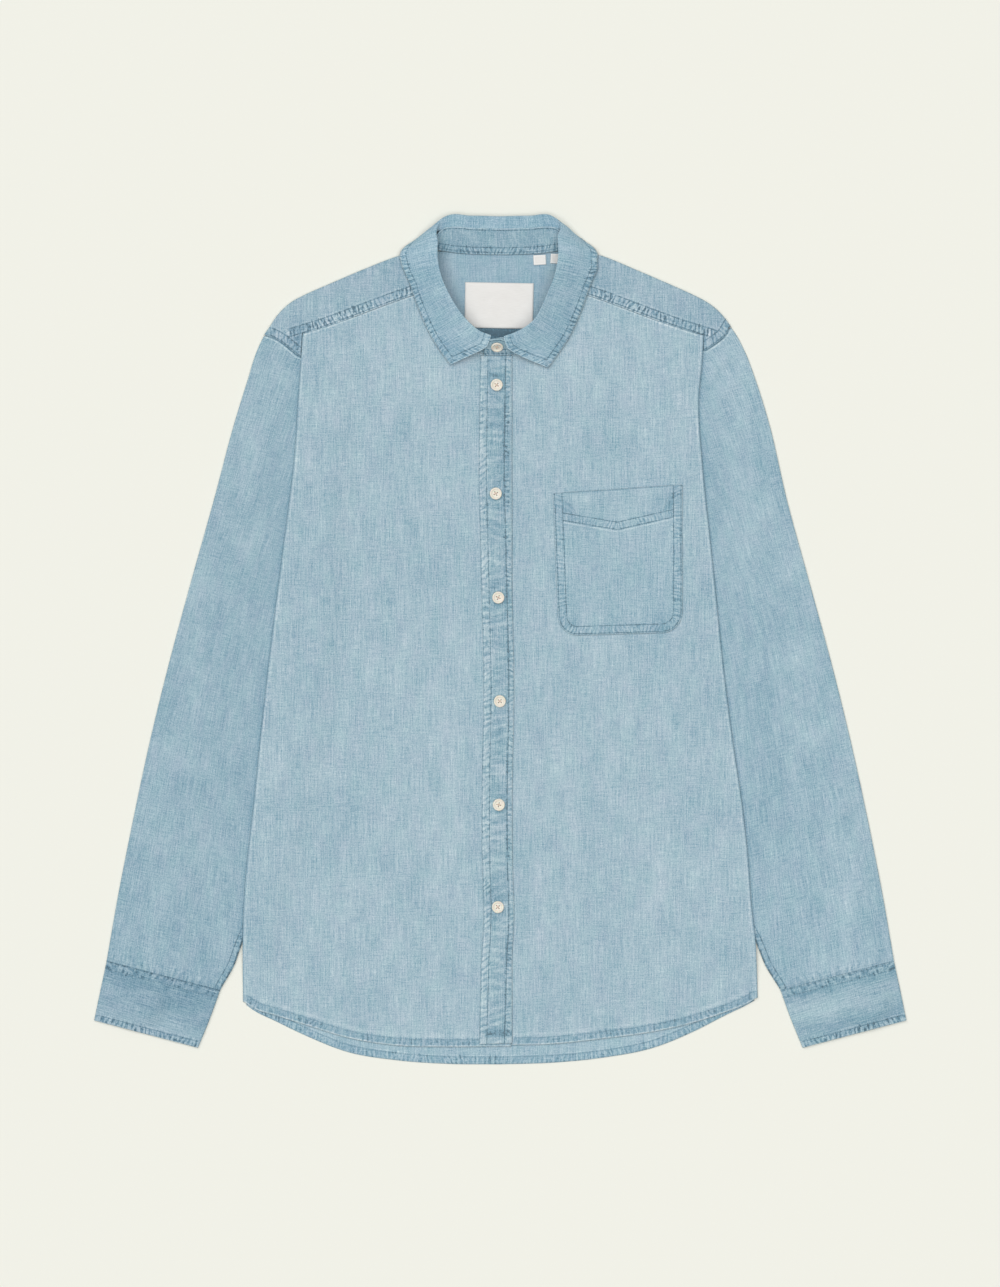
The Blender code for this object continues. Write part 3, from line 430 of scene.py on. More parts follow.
# The puckers' spacing, heights, widths and lean, each drawn from a range, and how far past a seam's ends
# they are drawn.
PUCKER = {"spacing": (0.6, 1.4), "height": (0.35, 1.0), "width": (0.18, 0.28), "lean": (-0.6, 0.6)}
PUCKERS_BEFORE = 15
PUCKERS_PAST = 20
PUCKER_STEP = 0.3


def puckers(place, out, pitch, seed):
    """Uneven ridges across a seam, from 0 to about 1, that lean one way and the other along it."""
    draw = np.random.default_rng(seed)
    reach = float(place.max()) + PUCKERS_PAST
    spacing = draw.uniform(*PUCKER["spacing"], int(1.2 * reach / pitch) + 12)
    centres = np.cumsum(spacing * pitch) - PUCKERS_BEFORE
    heights = draw.uniform(*PUCKER["height"], len(centres))
    widths = draw.uniform(*PUCKER["width"], len(centres)) * pitch
    at = np.arange(-PUCKERS_BEFORE, reach, PUCKER_STEP)
    bumps = heights[:, None] * near(at - centres[:, None], widths[:, None])
    knots = np.arange(-PUCKERS_BEFORE, reach + PUCKERS_PAST, 3 * pitch)
    lean = np.interp(place, knots, draw.uniform(*PUCKER["lean"], len(knots)))
    return np.interp(place + lean * out, at, bumps.sum(axis=0))


# A sewn edge: how softly its puckers start and fade, how its rows of stitches sink into them, and how
# much paler its ridges are.
SEWN = {"start": 0.4, "fade": 3.0, "row": 0.9, "pinched": 0.5, "sunk": 0.15, "wear": 0.45, "level": 0.4}


def sewn(place, out, rows, seed, height, pitch=4.6, dark=0.1):
    """The rise and wear of a sewn edge, where `out` is how far in from it a point lies."""
    ridge = puckers(place, out - np.mean(rows), pitch, seed)
    inside = ease(out, -SEWN["start"], SEWN["start"]) * (1 - ease(out, max(rows), max(rows) + SEWN["fade"]))
    sunk = sum(near(out - row, SEWN["row"]) for row in rows)
    rise = inside * height * ridge * (1 - SEWN["pinched"] * np.minimum(sunk, 1)) - SEWN["sunk"] * sunk
    return np.stack([rise, inside * (SEWN["wear"] * (ridge - SEWN["level"]) - dark)])


# How much paler a crease's ridge is, from wear, and how much darker its trough is, a painted shade.
CREASE_WEAR_AND_SHADE = 0.14


def creases(plan, rows, rise=1.0, wear=1.0):
    """Soft creases, a row for each: from x, y to x, y, its bow, its width and its height.

    rise makes all of them higher, and wear makes their colour stronger: paler on ridges, where they are worn,
    and darker in troughs, a painted shade.
    """
    relief = np.zeros((2, *plan.shape[:-1]))
    for start_x, start_y, end_x, end_y, bow, width, height in rows:
        start, end = np.array([start_x, start_y]), np.array([end_x, end_y])
        run = end - start
        across = np.array([-run[1], run[0]]) / math.hypot(*run)
        middle = (start + end) / 2 + across * bow
        t = np.linspace(0, 1, 9)[:, None]
        path = (1 - t) ** 2 * start + 2 * t * (1 - t) * middle + t * t * end
        place, left = along(plan, path)
        length = math.hypot(*run)
        taper = np.sin(np.clip(place / length, 0, 1) * math.pi) ** 0.7
        ridge = near(left, width) * taper
        # Ridges are paler from wear, and troughs darker with painted shade.
        relief += np.stack([ridge * height, ridge * CREASE_WEAR_AND_SHADE * np.sign(height)])
    return np.stack([relief[0] * rise, relief[1] * wear])


def patches(plan, rows):
    """Soft patches of dye, painted shade and painted light, a row for each: x, y, half its width and length,
    and its wear.
    """
    relief = np.zeros((2, *plan.shape[:-1]))
    for x, y, wide, long, wear in rows:
        away = ((plan[..., 0] - x) / wide) ** 2 + ((plan[..., 1] - y) / long) ** 2
        relief[1] += wear * np.exp(-away)
    return relief


# ---- Shells --------------------------------------------------------------------------------------


def add_object(name, data):
    made = bpy.data.objects.new(name, data)
    bpy.context.scene.collection.objects.link(made)
    return made


def grid_corners(rows, columns, closed):
    """The (row, column) of each face's corners. Past a closed join the columns run on."""
    i, j = np.meshgrid(np.arange(rows - 1), np.arange(columns - (0 if closed else 1)), indexing="ij")
    i, j = i.ravel(), j.ravel()
    return np.stack([np.stack(c, axis=1) for c in ((i, j), (i, j + 1), (i + 1, j + 1), (i + 1, j))], axis=1)


def rim(outer_edge):
    """The faces that join an outer edge to the inner one, from its (row, column) pairs."""
    layers = [(outer_edge[1:], 0), (outer_edge[:-1], 0), (outer_edge[:-1], 1), (outer_edge[1:], 1)]
    return np.stack([np.column_stack([np.full(len(e), layer), e]) for e, layer in layers], axis=1)


def shell_faces(rows, columns, closed):
    """Every face of a closed shell, as (layer, row, column) corners that turn the same way."""
    corners = grid_corners(rows, columns, closed)
    layered = [np.concatenate([np.full((*corners.shape[:2], 1), n), corners], axis=2) for n in (0, 1)]
    reach = columns + 1 if closed else columns
    across = np.arange(reach)
    top = np.column_stack([np.zeros(reach, int), across])
    foot = np.column_stack([np.full(reach, rows - 1), across])[::-1]
    faces = [layered[0], layered[1][:, ::-1], rim(top), rim(foot)]
    if not closed:
        down = np.arange(rows)
        faces.append(rim(np.column_stack([down, np.zeros(rows, int)])[::-1]))
        faces.append(rim(np.column_stack([down, np.full(rows, columns - 1)])))
    return np.concatenate(faces)


def shell(name, outer, inner, grain, wear, slot, inner_wear=0.0, cloth=None, closed=False, seams=()):
    """A closed shell between two grids of points, which stands for the solid of that name.

    Its grain and its seams are UV maps, and its wear, with the painted shade and painted light in it, is an
    attribute of its points. `closed` joins the last column to the first one.
    """
    rows, columns = outer.shape[:2]
    faces = shell_faces(rows, columns, closed)
    layer, row, column = faces[..., 0], faces[..., 1], faces[..., 2]
    index = layer * rows * columns + row * columns + column % columns
    points = np.concatenate([outer.reshape(-1, 3), inner.reshape(-1, 3)]) * MM
    corners = points[index]
    volume = np.sum(np.cross(corners[:, 0], corners[:, 1]) * corners[:, 2])
    volume += np.sum(np.cross(corners[:, 0], corners[:, 2]) * corners[:, 3])
    if volume < 0:
        index, row, column = index[:, ::-1], row[:, ::-1], column[:, ::-1]
    mesh = bpy.data.meshes.new(name)
    mesh.from_pydata(points.tolist(), [], index.tolist())
    maps = {"Grain": grain}
    for number, (place, out) in enumerate(seams, start=1):
        maps[f"Seam{number}"] = np.stack(np.broadcast_arrays(place, out, grain[..., 0])[:2], axis=2)
    for map_name, at in maps.items():
        uvs = at[row, column] * MM
        mesh.uv_layers.new(name=map_name).data.foreach_set("uv", uvs.astype(np.float32).ravel())
    values = np.concatenate([np.broadcast_to(part, (rows, columns)).ravel() for part in (wear, inner_wear)])
    # Each point's wear, with the painted shade and painted light that it also holds.
    mesh.attributes.new("WearAndShade", "FLOAT", "POINT").data.foreach_set("value", values.astype(np.float32))
    mesh.shade_smooth()
    mesh.materials.append(MATERIALS[cloth or name])
    return keep(add_object(name + "_cloth", mesh), name, slot=slot)


def normals(grid):
    """The unit normal at each point of a grid."""
    normal = np.cross(np.gradient(grid, axis=0), np.gradient(grid, axis=1))
    return normal / np.maximum(np.linalg.norm(normal, axis=2, keepdims=True), 1e-9)


def on_side(grid, side):
    """A grid that was made at +X, moved to the wearer's right or left."""
    return grid * (SIDES[side], 1, 1)[: grid.shape[-1]]


def raised(plan, height):
    return np.concatenate([plan, height[..., None]], axis=-1)


def join_halves(right, left, axis=1):
    """Two halves that meet at the middle line, the right one turned to run up to it."""
    right = np.flip(right, axis)
    outside = [slice(None)] * right.ndim
    outside[axis] = slice(0, -1)
    return np.concatenate([right[tuple(outside)], left], axis=axis)


# ---- Materials -----------------------------------------------------------------------------------


def node(tree, kind, inputs=(), **settings):
    """A node with its settings, its inputs given as (socket, value or output)."""
    made = tree.nodes.new(kind)
    for name, value in settings.items():
        setattr(made, name, value)
    for socket, value in inputs:
        if isinstance(value, bpy.types.NodeSocket):
            tree.links.new(value, made.inputs[socket])
        else:
            made.inputs[socket].default_value = value
    return made


def sum_of(tree, first, weight, second):
    """first * weight + second."""
    inputs = [(0, first), (1, weight), (2, second)]
    return node(tree, "ShaderNodeMath", inputs, operation="MULTIPLY_ADD").outputs[0]


def streaks(tree, uv, across, lengthwise, detail, shift):
    """Noise with spots `across` wide and `lengthwise` long, in millimetres, about 0."""
    scale = (1 / (across * MM), 1 / (lengthwise * MM), 1.0)
    inputs = [("Vector", uv), ("Location", (shift, 1.7 * shift, 0.0)), ("Scale", scale)]
    placed = node(tree, "ShaderNodeMapping", inputs).outputs["Vector"]
    inputs = [("Vector", placed), ("Scale", 1.0), ("Detail", detail), ("Roughness", 0.55)]
    noise = node(tree, "ShaderNodeTexNoise", inputs, noise_dimensions="2D").outputs["Fac"]
    return sum_of(tree, noise, 1.0, -0.5)


# The cloth's grain: each kind of streak's width, length and detail, and how strongly it shows.
GRAIN = [
    (1.2, 1.2, 1.0, 1.9), (0.9, 8.0, 1.0, 1.20), (1.0, 34.0, 1.0, 1.45), (14.0, 0.9, 1.0, 1.20),
    (16.0, 26.0, 0.5, 0.50), (46.0, 80.0, 0.5, 0.45),
]
ROUGH_GRAIN = 4
GRAIN_STEP = 7.3
WEAVE_PITCH = 0.55
WEAVE_SHADE = 0.1
WEAVE_RELIEF = 0.12
# What the piece's dye is multiplied by where it is darkest, palest and in its deepest shade, and the
# two tints that drift over the cloth.
DARK_DYE = (0.55, 0.70, 0.775)
PALE_DYE = (1.45, 1.30, 1.225)
PALEST = 1.45
DEEP_SHADE = (0.62, 0.57, 0.56)
DEEPEST = -0.45
TINTS = ((1.035, 0.985, 1.012), (0.955, 1.012, 0.992))
TINT_SPOTS = (14.0, 26.0, 1.5)
TINT_CONTRAST = 1.2


def mixed(tree, factor, first, second, **settings):
    """A mix of two colours, each one given as red, green and blue or as an output."""
    ends = [(*end, 1.0) if isinstance(end, tuple) else end for end in (first, second)]
    inputs = [("Factor", factor), (6, ends[0]), (7, ends[1])]
    return node(tree, "ShaderNodeMix", inputs, data_type="RGBA", **settings).outputs[2]


def softly(tree, value, low, high, start=0.0, end=1.0):
    """The value's place from low to high, made to run softly from start to end."""
    inputs = [("Value", value), ("From Min", low), ("From Max", high), ("To Min", start), ("To Max", end)]
    return node(tree, "ShaderNodeMapRange", inputs, interpolation_type="SMOOTHSTEP").outputs[0]


def product(tree, first, second):
    return node(tree, "ShaderNodeMath", [(0, first), (1, second)], operation="MULTIPLY").outputs[0]


def sine(tree, value):
    return node(tree, "ShaderNodeMath", [(0, value)], operation="SINE").outputs[0]


def uv_map(tree, name):
    return node(tree, "ShaderNodeUVMap", uv_map=name).outputs["UV"]


def spotted(tree, scale):
    """Fine clouds in the object's own space."""
    place = node(tree, "ShaderNodeTexCoord").outputs["Object"]
    inputs = [("Vector", place), ("Scale", scale), ("Detail", 2.0)]
    return node(tree, "ShaderNodeTexNoise", inputs).outputs["Fac"]


# Reads each point's wear, with its painted shade and painted light.
def wear_and_shade_of(tree):
    return node(tree, "ShaderNodeAttribute", attribute_name="WearAndShade").outputs["Fac"]


def finished(name, make_colour, bump, settings):
    """A material whose colour, and relief if bump gives its strength and depth, come from make_colour."""
    made = bpy.data.materials.new(name)
    made.use_nodes = True
    tree = made.node_tree
    shader = tree.nodes["Principled BSDF"]
    colour, relief = make_colour(tree)
    tree.links.new(colour, shader.inputs["Base Color"])
    if bump:
        inputs = [("Strength", bump[0]), ("Distance", bump[1] * MM), ("Height", relief)]
        tree.links.new(node(tree, "ShaderNodeBump", inputs).outputs["Normal"], shader.inputs["Normal"])
    for socket, value in settings.items():
        shader.inputs[socket].default_value = value
    return made


# A sewn edge's marks. Its strokes of wear are made of fine streaks and an even wave, pushed about by
# noise that is wider than they are, and they lean, fade and break off unevenly along the seam.
STROKE = {
    "turn": (34.0, 400.0, 0.0, 5.0), "turned": 1.5, "wave": (2.2, 30.0, 1.0, 17.0), "pushed": 10.0,
    "streak": (0.42, 4.0, 2.0, 31.0), "contrast": 3.4, "even": 0.5, "range": (-0.95, 0.6, -1.25, 0.7),
    "relief": 1.6,
}
FADING = ((26.0, 400.0, 1.0, 47.0), (-0.22, 0.16, 0.45, 1.2))
RAGGED = ((3.6, 400.0, 1.0, 61.0), 9.0)
BROKEN = ((6.0, 400.0, 1.0, 71.0), (-0.26, 0.12, 0.4, 1.15))


def seam_marks(tree, number, seam, shade, relief):
    """A sewn edge: strokes of wear that lean along it, and the lines of its threads, rubs and folds; some
    lines are painted shadow under an edge or at a fold.

    The seam's own UV map holds the place along it, and how far in from it a point lies. Its strokes are
    (pitch, strength, how far in they start and end), and its lines are (how far in, half width, wear).
    It may also say how far its strokes slant, how even they are, and how far in from the first seam its
    marks start ("past").
    """
    uv = uv_map(tree, f"Seam{number}")

    def noise(kind, on=uv):
        across, lengthwise, detail, shift = kind
        return streaks(tree, on, across, lengthwise, detail, shift * number)

    split = node(tree, "ShaderNodeSeparateXYZ", [("Vector", uv)]).outputs
    out = sum_of(tree, split["Y"], 1 / MM, 0.0)
    pitch, strength, first, last = seam["strokes"]
    across, lengthwise, detail, shift = STROKE["turn"]
    turn = streaks(tree, uv, across, lengthwise, detail, shift + number)
    turn = sum_of(tree, turn, STROKE["turned"], seam.get("slant", 0.0))
    middle = sum_of(tree, out, 1.0, -(first + last) / 2)
    leaned = sum_of(tree, product(tree, turn, middle), MM, split["X"])
    placed = node(tree, "ShaderNodeCombineXYZ", [("X", leaned), ("Y", split["Y"])]).outputs[0]
    share, *rest = STROKE["wave"]
    uneven = noise((share * pitch, *rest), placed)
    phase = sum_of(tree, leaned, 2 * math.pi / (pitch * MM), 0.0)
    wave = sine(tree, sum_of(tree, uneven, STROKE["pushed"], phase))
    share, *rest = STROKE["streak"]
    stroke = noise((share * pitch, *rest), placed)
    even = product(tree, wave, seam.get("even", STROKE["even"]))
    stroke = softly(tree, sum_of(tree, stroke, STROKE["contrast"], even), *STROKE["range"])
    fading = softly(tree, noise(FADING[0]), *FADING[1])
    ragged = sum_of(tree, noise(RAGGED[0]), RAGGED[1], out)
    mask = product(tree, softly(tree, out, first - 0.3, first + 0.4), fading)
    mask = product(tree, mask, softly(tree, ragged, last - 0.8, last + 1.6, 1.0, 0.0))
    clear = softly(tree, noise(BROKEN[0]), *BROKEN[1])
    if "past" in seam:
        other = node(tree, "ShaderNodeSeparateXYZ", [("Vector", uv_map(tree, "Seam1"))]).outputs["Y"]
        past = softly(tree, other, (seam["past"] - 1) * MM, (seam["past"] + 1) * MM)
        mask, clear = product(tree, mask, past), product(tree, clear, past)
    marked = product(tree, stroke, mask)
    shade = sum_of(tree, marked, strength, shade)
    relief = sum_of(tree, marked, STROKE["relief"] * strength, relief)
    for at, width, wear in seam["lines"]:
        away = sum_of(tree, out, 1.0, -at)
        away = node(tree, "ShaderNodeMath", [(0, away)], operation="ABSOLUTE").outputs[0]
        line = product(tree, softly(tree, away, width * 0.35, width * 1.5, 1.0, 0.0), clear)
        shade = sum_of(tree, line, wear, shade)
        relief = sum_of(tree, line, 0.5 * wear, relief)
    return shade, relief


def chambray(name, colour, shift, contrast=1.0, seams=()):
    """Washed chambray: slubbed warp, fine weft lines, mottled dye, a small weave and its sewn edges."""

    def make_colour(tree):
        uv = uv_map(tree, "Grain")
        shade = wear_and_shade_of(tree)
        rough = None
        for number, (across, lengthwise, detail, weight) in enumerate(GRAIN):
            noise = streaks(tree, uv, across, lengthwise, detail, shift + GRAIN_STEP * number)
            shade = sum_of(tree, noise, weight * contrast, shade)
            if number < ROUGH_GRAIN:
                rough = noise if rough is None else sum_of(tree, noise, 1.0, rough)
        split = node(tree, "ShaderNodeSeparateXYZ", [("Vector", uv)]).outputs
        turn = 2 * math.pi / (WEAVE_PITCH * MM)
        weave = product(tree, *(sine(tree, sum_of(tree, split[axis], turn, 0.0)) for axis in "XY"))
        shade = sum_of(tree, weave, WEAVE_SHADE, shade)
        relief = sum_of(tree, weave, WEAVE_RELIEF, rough)
        for number, seam in enumerate(seams, start=1):
            shade, relief = seam_marks(tree, number, seam, shade, relief)
        mix = sum_of(tree, shade, 0.5, 0.5)
        # Below 0 the colour turns towards the grey of painted shade.
        deep = softly(tree, mix, DEEPEST, 0.0, 1.0, 0.0)
        mix = node(tree, "ShaderNodeClamp", [("Value", mix), ("Min", 0.0), ("Max", PALEST)]).outputs[0]
        ends = [tuple(np.array(colour) * dye) for dye in (DARK_DYE, PALE_DYE)]
        dyed = mixed(tree, mix, *ends, clamp_factor=False)
        tint = sum_of(tree, streaks(tree, uv, *TINT_SPOTS, shift + 60.0), TINT_CONTRAST, 0.5)
        tint = mixed(tree, deep, mixed(tree, tint, *TINTS, clamp_factor=True), DEEP_SHADE)
        return mixed(tree, 1.0, dyed, tint, blend_type="MULTIPLY"), relief

    looks = {
        "Roughness": 0.9, "Specular IOR Level": 0.18, "Sheen Weight": 0.12, "Sheen Roughness": 0.5,
    }
    return finished(name, make_colour, (0.4, 0.25), looks)


def label_cloth(name):
    """A close, smooth white weave, a little warmer in places."""

    def make_colour(tree):
        uv = uv_map(tree, "Grain")
        lines = streaks(tree, uv, 6.0, 0.5, 1.0, 3.0)
        cloud = streaks(tree, uv, 14.0, 9.0, 1.0, 9.0)
        shade = sum_of(tree, lines, 0.4, sum_of(tree, cloud, 0.25, 0.55))
        shade = sum_of(tree, wear_and_shade_of(tree), 0.5, shade)
        return mixed(tree, shade, (0.68, 0.66, 0.63), (0.87, 0.855, 0.825)), lines

    return finished(name, make_colour, (0.3, 0.1), {"Roughness": 0.62, "Sheen Weight": 0.1})


def cream_button(name):
    """Cream shell-like resin, clouded, with a soft shine."""

    def make_colour(tree):
        return mixed(tree, spotted(tree, 260.0), (0.77, 0.70, 0.58), (0.85, 0.81, 0.71)), None

    looks = {"Roughness": 0.42, "Subsurface Weight": 0.08, "Subsurface Scale": 0.001}
    return finished(name, make_colour, None, looks)


def cotton_thread(name, dark, pale):
    """Thread, a little uneven in its dye."""

    def make_colour(tree):
        return mixed(tree, spotted(tree, 420.0), dark, pale), None

    return finished(name, make_colour, None, {"Roughness": 0.7, "Sheen Weight": 0.2})


# The edge's own line, and what a line at a row of stitches is like.
EDGE_LINE = (0.5, 0.5)
ROW_HALF = 0.45
ROW_WEAR = -1.55


def stitched(pitch, strength, rows, edge=0.45, others=(), sunk=ROW_WEAR, **limits):
    """A sewn edge with a rubbed rim, puckers in as far as its last row, and a dark line at each row."""
    lines = [(*EDGE_LINE, edge), *((row, ROW_HALF, sunk) for row in rows), *others]
    return {"strokes": (pitch, strength, 0.0, max(rows)), "lines": lines, **limits}


# Each piece's sewn edges, as seam_marks reads them.
FRONT_HEM_LINES = [(0.7, 0.7, 0.9), (4.0, 3.2, -0.28), (9.6, 2.0, 0.3)]
FRONT_SEAMS = [
    stitched(5.0, 0.5, (HEM_ROW,), edge=0.2, sunk=-0.3, others=FRONT_HEM_LINES),
    # Under the yoke's lap: a painted shadow just below its edge, and a pale line below that.
    {"strokes": (5.0, 0.35, 0.5, 3.5), "lines": [(0.1, 0.6, -1.2), (1.9, 0.7, 0.8)]},
    # At the side fold: a painted shadow at the fold, and a pale worn ridge in from it.
    {"strokes": (6.0, 0.2, 1.5, 4.0), "lines": [(0.2, 0.8, -1.1), (2.2, 0.8, 0.4)]},
]
BACK_SEAMS = [stitched(4.4, 0.6, (HEM_ROW,), edge=-0.2, sunk=-0.4, others=[(8.0, 0.6, 0.5)])]
POCKET_SEAMS = [
    stitched(3.9, 0.55, POCKET_ROWS, edge=0.2),
    stitched(3.3, 0.55, POCKET_FACING["rows"], edge=0.0, others=[(-1.0, 0.6, 0.8)], past=8.3),
]
YOKE_SEAMS = [
    stitched(4.0, 0.6, ARMHOLE_ROWS, edge=-0.6, others=[(9.4, 0.7, 0.35)]),
    stitched(4.2, 1.3, YOKE_ROWS, edge=0.7, others=[(10.2, 0.8, 0.45), (3.0, 0.8, 0.5)], past=8.6),
]
SLEEVE_SEAMS = {
    side: [
        stitched(4.2, 0.5, FELL_ROWS, edge=0.2),
        # Beside the yoke's lap: a painted shadow at its edge, and a pale ridge beside it.
        {"strokes": (5.0, 0.35, 1.0, 5.0), "lines": [(0.1, 0.7, -1.2), (1.9, 0.7, 1.1)]},
        {"strokes": (6.5, 0.35, 0.0, 8.0), "lines": [(0.0, 0.7, wear)]},
    ]
    for side, wear in (("right", -1.0), ("left", -0.3))
}
CUFF_SEAMS = {
    side: [
        stitched(6.6, 1.0, CUFF_ROWS["seam"], edge=edge, sunk=-0.2, even=0.3),
        stitched(4.6, 1.2, CUFF_ROWS["hem"], edge=0.4, sunk=-1.1, others=[(7.2, 0.8, 0.4)]),
    ]
    for side, edge in (("right", -1.3), ("left", -0.4))
}
BAND_SEAMS = [
    stitched(6.0, 0.65, BAND_ROWS[:1], edge=-0.5, others=[(1.7, 0.5, 0.6)], slant=0.5),
    stitched(4.6, 0.65, BAND_ROWS[1:], edge=0.1, others=[(BAND_ROWS[1] + 0.5, 0.9, -0.6)]),
]
SLIT_SEAMS = [stitched(4.6, 0.4, (2.0,))]
LEAF_SEAMS = [stitched(4.0, 0.95, (LEAF_ROW,), edge=0.8)]
STAND_SEAMS = [
    stitched(4.0, 0.9, STAND_ROWS["neck"], edge=0.3),
    stitched(5.5, 0.4, (STAND_ROWS["seam"],), edge=0.7),
]

# Each cloth's name and dye, where its noise is read, how strong its grain is, and its sewn edges.
BODY_DYE = (0.360, 0.490, 0.558)
CLOTHS = {
    "front_right": ("body_chambray_right", BODY_DYE, 11.0, 1.0, FRONT_SEAMS),
    "front_left": ("body_chambray_left", BODY_DYE, 23.0, 1.0, FRONT_SEAMS),
    "back": ("back_chambray", (0.35, 0.49, 0.56), 37.0, 1.0, BACK_SEAMS),
    "sleeve_right": ("sleeve_chambray_right", (0.303, 0.438, 0.512), 41.0, 1.1, SLEEVE_SEAMS["right"]),
    "sleeve_left": ("sleeve_chambray_left", (0.318, 0.456, 0.530), 53.0, 1.1, SLEEVE_SEAMS["left"]),
    "yoke_outer": ("yoke_chambray", (0.321, 0.447, 0.521), 61.0, 1.1, YOKE_SEAMS),
    "yoke_inner": ("inner_yoke_chambray", (0.300, 0.435, 0.515), 71.0, 0.8),
    "collar_leaf": ("leaf_chambray", (0.318, 0.470, 0.555), 83.0, 1.15, LEAF_SEAMS),
    "collar_stand": ("stand_chambray", (0.298, 0.436, 0.512), 91.0, 1.1, STAND_SEAMS),
    "cuff_right": ("cuff_chambray_right", (0.253, 0.382, 0.461), 97.0, 1.3, CUFF_SEAMS["right"]),
    "cuff_left": ("cuff_chambray_left", (0.293, 0.430, 0.500), 103.0, 1.2, CUFF_SEAMS["left"]),
    "front_placket": ("band_chambray", (0.352, 0.482, 0.545), 109.0, 1.1, BAND_SEAMS),
    "slit_band": ("slit_band_chambray", (0.330, 0.462, 0.535), 127.0, 0.9, SLIT_SEAMS),
    "pocket": ("pocket_chambray", (0.348, 0.483, 0.552), 113.0, 1.0, POCKET_SEAMS),
}
MATERIALS = {piece: chambray(*cloth) for piece, cloth in CLOTHS.items()}
MATERIALS["label"] = label_cloth("label_cloth")
MATERIALS["button"] = cream_button("button_cream")
MATERIALS["thread"] = cotton_thread("tonal_thread", (0.150, 0.255, 0.325), (0.300, 0.430, 0.500))
MATERIALS["button_thread"] = cotton_thread("button_thread", (0.56, 0.43, 0.35), (0.70, 0.57, 0.49))

# How far from a seam a point counts as lying where the cloth turns under, the pieces and rows of
# stitches made so far, and the steps round a fold between its flat sides.
CLEAR_OF_SEAM = 90.0
STITCH_PATHS = []
TURNS = np.linspace(0, math.pi, 8)[1:-1]


def keep(made, *nodes, slot):
    """Every piece rides on the one body and stands for its solids."""
    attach(made, "root")
    if nodes:
        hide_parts(*nodes)
    return made


def stitch(points, up):
    """A row of stitches on the points given, each with the direction that its thread faces."""
    STITCH_PATHS.append((np.asarray(points, float), np.asarray(up, float)))


# ---- Fronts, band and pocket ---------------------------------------------------------------------

# Creases and patches of dye and painted light, at +X on both sides. The functions of the same names say what
# is in a row.
FRONT_CREASES = {
    "right": [
        (196, 60, 150, 118, 5, 7, 0.55), (205, 10, 168, 34, -4, 6, 0.4), (70, 296, 62, 210, 6, 8, 0.35),
        (180, 232, 138, 262, 4, 6, 0.4), (222, -150, 196, -96, 5, 8, 0.45),
        (60, -20, 46, -120, 6, 9, 0.3), (120, -210, 104, -300, -6, 9, 0.35),
        (25, 245, 18, 232, 0, 2.2, -0.4),
    ],
    "left": [
        (190, 70, 150, 120, -5, 7, 0.5), (186, 200, 150, 252, 4, 6, 0.45),
        # The second crease below runs along the leaf's edge: a low ridge with painted light that lifts the
        # leaf's shadow.
        (74, 286, 70, 206, -5, 8, 0.35), (77, 314, 50, 254, 0, 2.6, 0.45),
        (216, -120, 186, -70, 5, 7, 0.4), (64, -60, 52, -150, 6, 9, 0.3),
        (150, -180, 140, -290, 5, 9, 0.35),
    ],
}
FRONT_PATCHES = {
    "right": [
        # The first patch, by the leaf's front end, is painted light that lifts the leaf's shadow on the
        # front.
        (20, 267, 9, 5, 0.6), (22, 240, 6, 8, -0.35), (172, 248, 14, 22, -0.25),
        (192, -95, 14, 32, -0.14), (96, 250, 50, 60, 0.12), (170, 60, 30, 120, -0.10),
        (60, -120, 40, 160, 0.06),
    ],
    "left": [
        # The first patch, by the leaf's front end, is painted light that lifts the leaf's shadow on the
        # front.
        (16, 265, 8, 5, 0.5), (62, 5, 10, 8, 0.2), (178, 50, 6, 12, 0.3), (110, 240, 60, 50, 0.10),
        (184, 60, 30, 120, -0.06), (90, -160, 50, 140, 0.05),
    ],
}
# The steps of a front's grid, across and down, how it dips under the yoke, and the flap at its side.
FRONT_ACROSS = (205.0, 1.9, (205.0, 5.0, 1.1))
FRONT_DOWN = (640.0, 5.0, (0.0, 14.0, 1.3), (640.0, 13.0, 1.2))
FRONT_TUCK = {"depth": 0.45, "fade": (1.6, 3.2), "from_x": (66.0, 72.0)}
FRONT_FOLD_FADE = (1.5, 5.0)
FRONT_FLAP = {"first": 0.15, "steps": 6, "grain": (3.6, 20.0)}
# The painted shadow on the turn of each front's side fold.
FOLD_SHADE = -0.5
SETTLE = 30


def settle(edge, x_at, start):
    """The Y where each column, whose X changes with Y, meets an edge."""
    y = edge(x_at(start))
    for _ in range(SETTLE):
        y = (y + edge(x_at(y))) / 2
    return y


def front_plan(side, shares, places):
    """Plan points from the middle to the side fold, and from the top edge to the hem."""
    start = -FRONT_CENTRE if side == "right" else FRONT_CENTRE + GAP
    hem = hem_edge(side, "front")

    def x_at(y):
        return start + (side_fold(side, y) - FOLD_RADIUS - start) * shares

    top, bottom = settle(front_top_edge, x_at, 0.0), settle(hem, x_at, 0.0)
    y = top + (bottom - top) * places[:, None]
    return np.stack([x_at(y), y], axis=2)


